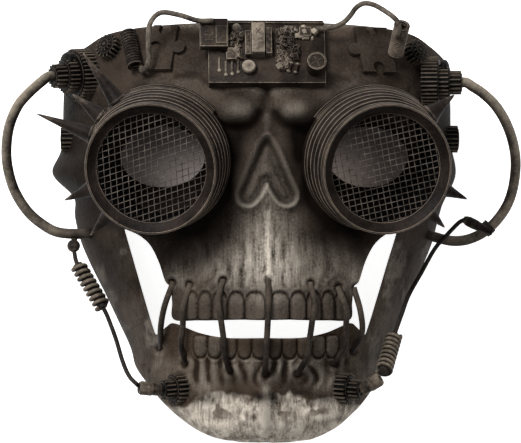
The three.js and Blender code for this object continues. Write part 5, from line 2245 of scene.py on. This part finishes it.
@dataclass(frozen=True)
class ForeheadBoard:
    """Circuit board with its components, the chip module and the capacitor can."""

    palette: Palette
    y: float = 82.0
    size: Point = (57.5, 33.5, 3.0)
    sink: float = 7.0
    clear: float = 0.3
    tall: Part = Part(-4.3, 5, 6.4, 16, 6.5)
    parts: tuple[Part, ...] = (
        Part(-9.2, 3.5, 3, 13, 4), tall, Part(1, 4.5, 3, 14, 4), Part(19, 10, 6, 5, 3),
        Part(-17.5, -3.4, 5, 4, 3.4))
    chip: Part = Part(-26, 8.2, 14, 15.4, 5)
    chip_bars: Points = ((5.0, 3.4), (3.2, 4.2), (0.4, 4.0), (-1.6, 4.0), (-4.4, 3.6))
    button: Point = (-9, -9, 3.4, 3.4)
    can: Point = (24, -9, 4.7, 8.5)
    pin_at: Points = ((-23.4, -8.5), (-20.2, -10.8), (-17.2, -10.4), (-14.2, -9.4))
    stick_at: Points = ((11.2, -8.6, 0.35), (14.4, -9.4, 0.25))
    lump_fields: Points = (
        (4.5, -4.0, 15.5, 13.0), (5.5, -4.0, 14.5, 13.0), (-18.2, -4.0, -12.0, 10.0), (6.0, -9.5, 10.5, -4.0))
    lumps: int = 26
    solder_at: Point = (19.0, 9.6)
    solder: int = 24
    seed: int = 12

    @property
    def top(self) -> float:
        """Level of the plate's face."""
        return self.size[2]

    def pile(self) -> list[Form]:
        """Clustered small lumps of solder and scrap.

        Returns:
            The forms.
        """
        random = np.random.default_rng(self.seed)
        forms = []
        for low_x, low_y, high_x, high_y in self.lump_fields:
            for _ in range(self.lumps):
                size = random.uniform(0.7, 2.2, 3) * 1.6
                x, y = random.uniform(low_x, high_x), random.uniform(low_y, high_y)
                turn = placement((x, y, self.top + random.uniform(0, 2.2)), random.normal(size=3))
                forms.append(block(size, 0.3, face_wear=random.uniform(-0.3, 0.6)).placed(turn))
        for _ in range(self.solder):
            size = random.uniform(1.2, 2.8, 3)
            x, y = self.solder_at + random.normal(0, 1.7, 2)
            turn = placement((x, y, self.top + random.uniform(0, 2.6)), random.normal(size=3))
            forms.append(block(size, 0.35, face_wear=random.uniform(0.8, 1.2)).placed(turn))
        return forms

    def pins(self) -> list[Form]:
        """Four soldered pin leads, two resistor sticks, a tilted tube and a strip along the edge.

        Returns:
            The forms.
        """
        lead = spun(((0, 0), (0.6, 0), (0.6, 6.8), (0, 6.8)), 10, (0, 0.6, 0.6, 0.6))
        blob = spun(((0, -0.4), (1.1, -0.4), (0.9, 0.6), (0, 1.1)), 12, (0, 0.3, 0.8, 1))
        stick = spun(((0, 0), (0.5, 0), (1.1, 0.8), (0.9, 1.6), (0.9, 4.6), (1.1, 5.4), (0.5, 6.2),
                      (0, 6.2)), 14, (0, 0.5, 0.9, 0.2, 0.2, 0.9, 0.5, 0.5))
        tube = spun(((0, 0), (1.7, 0), (1.9, 0.5), (1.9, 6.4), (1.6, 7), (0, 7)), 20,
                    (0.3, 0.8, 0.8, 0.3, 0.9, 0.6))
        forms = []
        for x, y in self.pin_at:
            forms.append(lead.placed(placement((x, y - 1.6, self.top), (0, 1, 0.08))))
            forms.append(blob.moved(x, y - 1.8, self.top))
        for x, y, lean in self.stick_at:
            forms.append(stick.placed(placement((x - lean * 3, y - 3, self.top + 0.9), (lean, 1, 0))))
        forms.append(tube.placed(placement((-15.2, 13.4, self.top + 1.6), (0.45, -0.85, 0.35))))
        forms.append(block((self.size[0] * 0.98, 1.6, 1.8), 0.4, (0, self.size[1] / 2 - 0.6, self.top + 0.3)))
        return forms

    def plate(self) -> Form:
        """Board plate with everything that is soldered to it.

        Returns:
            The form.
        """
        width, height, thick = self.size
        forms = [block((width, height, thick + self.sink), 0.5, (0, 0, (thick - self.sink) / 2), 0.0)]
        for part in self.parts:
            depth = part.rise + 1
            middle = (part.x, part.y, self.top - 1 + depth / 2)
            forms.append(block((part.width, part.height, depth), 0.45, middle, 0.1 * part.rise))
        for turn in (0.6, -0.6):
            score = block((0.5, 3.6, 0.5), 0.12).twisted(turn)
            forms.append(score.moved(self.tall.x, self.tall.y + 3.4, self.top + self.tall.rise + 0.05))
        x, y, radius, up = self.button
        rows = ((0, -0.5), (radius, -0.5), (radius * 1.02, up - 0.8), (radius * 0.86, up), (0, up + 0.1))
        forms.append(spun(rows, 28, (0, 0.2, 0.8, 1, 0.5)).moved(x, y, self.top))
        return joined(*forms, *self.pile(), *self.pins())

    def module(self) -> Form:
        """Chip module: block with plain raised bars and a panel on its face.

        Returns:
            The form.
        """
        part = self.chip
        base = self.top + self.clear
        face = base + part.rise
        forms = [block((part.width, part.height, part.rise), 0.5, (part.x, part.y, base + part.rise / 2)),
                 block((0.7, part.height * 0.86, 0.6), 0.15, (part.x - 6.1, part.y, face + 0.1))]
        for row, width in self.chip_bars:
            forms.append(block((width, 0.55, 0.6), 0.14, (part.x - 2.4, part.y + row, face + 0.08)))
        forms.append(block((0.55, 2.2, 0.6), 0.14, (part.x - 0.6, part.y - 0.6, face + 0.08)))
        forms.append(block((5.6, 9.4, 1.1), 0.4, (part.x + 3.7, part.y - 1.4, face + 0.1)))
        return joined(*forms)

    def capacitor(self) -> Form:
        """Round can with a rolled rim and a scored top.

        Returns:
            The form.
        """
        x, y, r, up = self.can
        base = self.top + self.clear
        high = base + up
        can = turned(((r * 0.8, base), (r, base), (r, high), (r * 0.8, high)), 40, 0.5)
        lid = spun(((0, base), (r * 0.85, base), (r * 0.85, high - 0.8), (0, high - 0.6)), 40)
        bars = [block((r * 1.3, 0.5, 0.5), 0.12, (0, 0, high - 0.5)).twisted(turn) for turn in (0.5, 2.0)]
        return joined(can, lid, *bars).moved(x, y, 0)

    def build(self) -> None:
        """Builds and dresses board, module and can."""
        where, looks = BONE.frame(0, self.y), self.palette.board
        piece("circuit_board_cast", self.plate().placed(where), looks, Slot.GEAR, "circuit_board")
        piece("chip_module_cast", self.module().placed(where), looks, Slot.CAST, "chip_module")
        piece("capacitor_can_cast", self.capacitor().placed(where), looks, Slot.GEAR, "capacitor_can")


class Edge(Enum):
    """Edge of a puzzle plate: plain, with a knob, or with a notch."""

    PLAIN = 0
    KNOB = 1
    NOTCH = -1


@dataclass(frozen=True)
class PuzzlePlate:
    """Raised plate shaped as a puzzle tile."""

    palette: Palette
    side: Side
    thickness: float = 2.2
    sink: float = 6.0
    knob: float = 3.3
    reach: float = 0.7
    places: Pair = Pair((-50.6, 85.4), (54.0, 84.6))
    sizes: Pair = Pair((12.8, 25.0), (18.0, 25.0))
    # Painted shade: the right plate is painted darker, as it faces away from the light.
    shade: Pair = Pair(0.1, 0.3)
    edges: Pair = Pair((Edge.PLAIN, Edge.KNOB, Edge.NOTCH, Edge.NOTCH),
                       (Edge.NOTCH, Edge.PLAIN, Edge.NOTCH, Edge.KNOB))

    def outline(self) -> np.ndarray:
        """Counter-clockwise outline from the lower left corner.

        Returns:
            The points.
        """
        corners = np.array(((-1, -1), (1, -1), (1, 1), (-1, 1))) * self.sizes[self.side] / 2
        points = []
        for i, edge in enumerate(self.edges[self.side]):
            start, end = corners[i], corners[(i + 1) % 4]
            along = (end - start) / np.linalg.norm(end - start)
            out = np.array([along[1], -along[0]]) * edge.value
            points.append(start)
            if edge is Edge.PLAIN:
                continue
            middle = (start + end) / 2 + out * self.reach * self.knob
            sweep = math.pi - math.acos(self.reach)
            for turn in np.linspace(-sweep, sweep, 25):
                points.append(middle + (out * math.cos(turn) + along * math.sin(turn)) * self.knob)
        return np.array(points)

    def build(self) -> None:
        """Builds and dresses the plate."""
        outline, high, tag = self.outline(), self.thickness, self.side.value
        count, centre = len(outline), outline.mean(axis=0)
        levels = ((1.0, -self.sink), (1.0, high - 0.6), (0.985, high - 0.15), (0.95, high))
        form = stacked(np.array([np.column_stack([centre + (outline - centre) * share, np.full(count, level)])
                                 for share, level in levels]))
        form.values["ridge"] = np.repeat([0.0, 0.0, 1.0, 0.1], count)
        # The plate's painted shade.
        form.values["soot"] = np.full(len(form.points), self.shade[self.side])
        placed = form.placed(BONE.frame(*self.places[self.side]))
        piece(f"puzzle_tile_{tag}", placed, self.palette.bone, Slot.BONE, f"puzzle_plate_{tag}")


@dataclass(frozen=True)
class ForeheadWires:
    """Ribbed stubs on the forehead and the wires between them and the board."""

    palette: Palette
    tubes: TubeGrowth
    ribs: RibGrowth
    board: ForeheadBoard
    radius: float = 1.3
    wear: float = 0.8
    lift: float = 4.2
    ends: Pair = Pair(((-66, 91.9), (-62.5, 76.3)), ((62.8, 82.0), (64.8, 94.0)))
    tilt: Pair = Pair(0.0, 20.0)
    rib_count: Pair = Pair(12, 15)
    rib_wear: Pair = Pair(0.4, 0.8)
    rib_radius: float = 3.35
    rib_thickness: float = 0.62
    routes: Pair = Pair(
        ((-61.4, 76.6, 66.0), (-61.2, 74.6, 67.4), (-59.8, 74.6, 71), (-57.8, 79, 74.4), (-58.0, 88, 75.6),
         (-57.2, 97, 76.4), (-52, 102.4, 76), (-43, 101.2, 78.4), (-34, 98.4, 80)),
        ((64.2, 91.6, 76.5), (65.0, 94.6, 79.5), (64.2, 97.8, 81), (61.8, 100.6, 80.5), (57, 104.2, 78),
         (52.7, 106.7, 75.5), (48.2, 107.5, 73.6), (44.4, 105.4, 73.2), (41.4, 101.4, 74), (38, 98, 74.6),
         (33, 95.8, 75.2)))
    landing: Pair = Pair((-26.5, 13.6), (23.6, 11.5))
    on_chip: Pair = Pair(True, False)

    def stub(self, side: Side) -> None:
        """Builds one ribbed stub: a hollow tube with rings round it.

        Args:
            side: Its side.
        """
        start, end = (BONE.over(x, y, self.lift) for x, y in self.ends[side])
        end[2] += self.tilt[side]
        length = float(np.linalg.norm(end - start))
        count = self.rib_count[side]
        tube = turned(((2.3, 0), (3.4, 0), (3.4, length - 0.2), (4.0, length), (4.1, length + 0.8),
                       (2.9, length + 0.9), (2.5, length - 0.4)), 36, 0.25)
        rings = self.ribs.form(self.palette.cast, Count=count, Radius=self.rib_radius,
                               Thickness=self.rib_thickness, Pitch=length / count)
        rings.values["wear"] *= self.rib_wear[side]
        bottom = spun(((0, 0), (2.6, 0), (2.6, length * 0.6), (0, length * 0.6)), 20)
        form = joined(tube, rings.moved(0, 0, 0.4), bottom).placed(placement(start, end - start))
        piece(f"forehead_stub_ribbed_{side.value}", form, self.palette.cast, Slot.CAST,
              f"forehead_stub_{side.value}")

    def wire(self, side: Side) -> None:
        """Builds one wire from its stub to the board.

        Args:
            side: Its side.
        """
        board = self.board
        chip = board.clear + board.chip.rise if self.on_chip[side] else 0.0
        level = board.top + board.clear + self.radius + chip
        landing = carried(BONE.frame(0, board.y), (*self.landing[side], level))
        route = smooth_route([*self.routes[side], landing], 1.0)
        mesh = self.tubes.tube(route, self.radius, self.palette.top_wire, self.wear, 16)
        piece(f"top_wire_sheath_{side.value}", mesh, self.palette.top_wire, Slot.WIRE,
              f"top_wire_{side.value}")

    def build(self) -> None:
        """Builds stubs and wires of both sides."""
        for side in Side:
            self.stub(side)
            self.wire(side)


# Studio


@dataclass(frozen=True)
class Studio:
    """Floor, soft lights and a camera that looks down on the mask from a little to its left."""

    camera_height: float = 1.6
    camera_side: float = -0.0727
    camera_reach: float = 20.0
    field_of_view: float = 9.59
    centre_offset: float = 0.0005
    floor_size: float = 6.0
    floor_level: float = -0.0005
    aim: Point = (0, 0, 0.05)
    world: float = 0.08

    def floor(self) -> None:
        """Makes the floor."""
        half = self.floor_size / 2
        mesh = bpy.data.meshes.new("floor")
        mesh.from_pydata([(-half, -half, 0), (half, -half, 0), (half, half, 0), (-half, half, 0)], [],
                         [(0, 1, 2, 3)])
        mesh.materials.append(PaleFloor().material())
        ground = linked("studio_floor", mesh)
        ground.location.z = self.floor_level

    def light(self, name: str, place: Point, size: float, power: float) -> None:
        """Makes a soft square light aimed at the mask.

        Args:
            name: Name of the light.
            place: Where it stands, in metres.
            size: Length of its sides.
            power: Power in watts.
        """
        lamp = bpy.data.lights.new(name, "AREA")
        lamp.size = size
        lamp.energy = power
        made = linked(name, lamp)
        made.location = place
        made.rotation_euler = (Vector(self.aim) - Vector(place)).to_track_quat("-Z", "Y").to_euler()

    def camera(self) -> None:
        """Makes the camera."""
        lens = bpy.data.cameras.new("camera")
        lens.sensor_fit = "HORIZONTAL"
        lens.angle = math.radians(self.field_of_view)
        lens.clip_end = self.camera_reach
        made = linked("camera", lens)
        target = Vector((SHIFT[0] * MM + self.centre_offset, SHIFT[1] * MM, 0))
        place = Vector((self.camera_side + target.x, target.y, self.camera_height))
        forward = (target - place).normalized()
        right = forward.cross(Vector((0, 1, 0))).normalized()
        turn = Matrix((right, right.cross(forward), -forward)).transposed().to_4x4()
        made.matrix_world = Matrix.Translation(place) @ turn
        bpy.context.scene.camera = made

    def build(self) -> None:
        """Makes floor, lights, world and camera."""
        self.floor()
        self.light("key", (-0.7, 1.0, 1.25), 0.6, 40)
        self.light("fill", (0.9, 0.3, 1.2), 0.9, 5)
        self.light("front", (-0.3, -0.4, 1.8), 0.8, 9)
        world = bpy.data.worlds.new("studio")
        world.use_nodes = True
        world.node_tree.nodes["Background"].inputs["Strength"].default_value = self.world
        scene = bpy.context.scene
        scene.world = world
        scene.view_settings.view_transform = "Standard"
        scene.view_settings.look = "None"
        self.camera()


def main() -> None:
    """Builds the studio and the mask's sub-assemblies in order."""
    logging.basicConfig(level=logging.INFO, format="%(name)s %(message)s")
    Studio().build()
    palette = Palette()
    tubes, ribs, wheels, nets = TubeGrowth(), RibGrowth(), GearGrowth(), NetGrowth()
    SkullShell(palette, BoneSurface()).build()
    stacks, jaws = {}, {}
    for side in Side:
        Goggle(palette, nets, side).build()
        gears = Gears(palette, wheels, side)
        gears.build()
        stacks[side], jaws[side] = gears.stack_frame(), gears.jaw_frame()
        PuzzlePlate(palette, side).build()
    Hoses(palette, tubes, ribs).build(stacks)
    JawWires(palette, tubes, CoilGrowth()).build(jaws, Gears.jaw_pinion.end)
    MouthStitches(palette, tubes).build()
    board = ForeheadBoard(palette)
    board.build()
    ForeheadWires(palette, tubes, ribs, board).build()


if __name__ == "__main__":
    main()
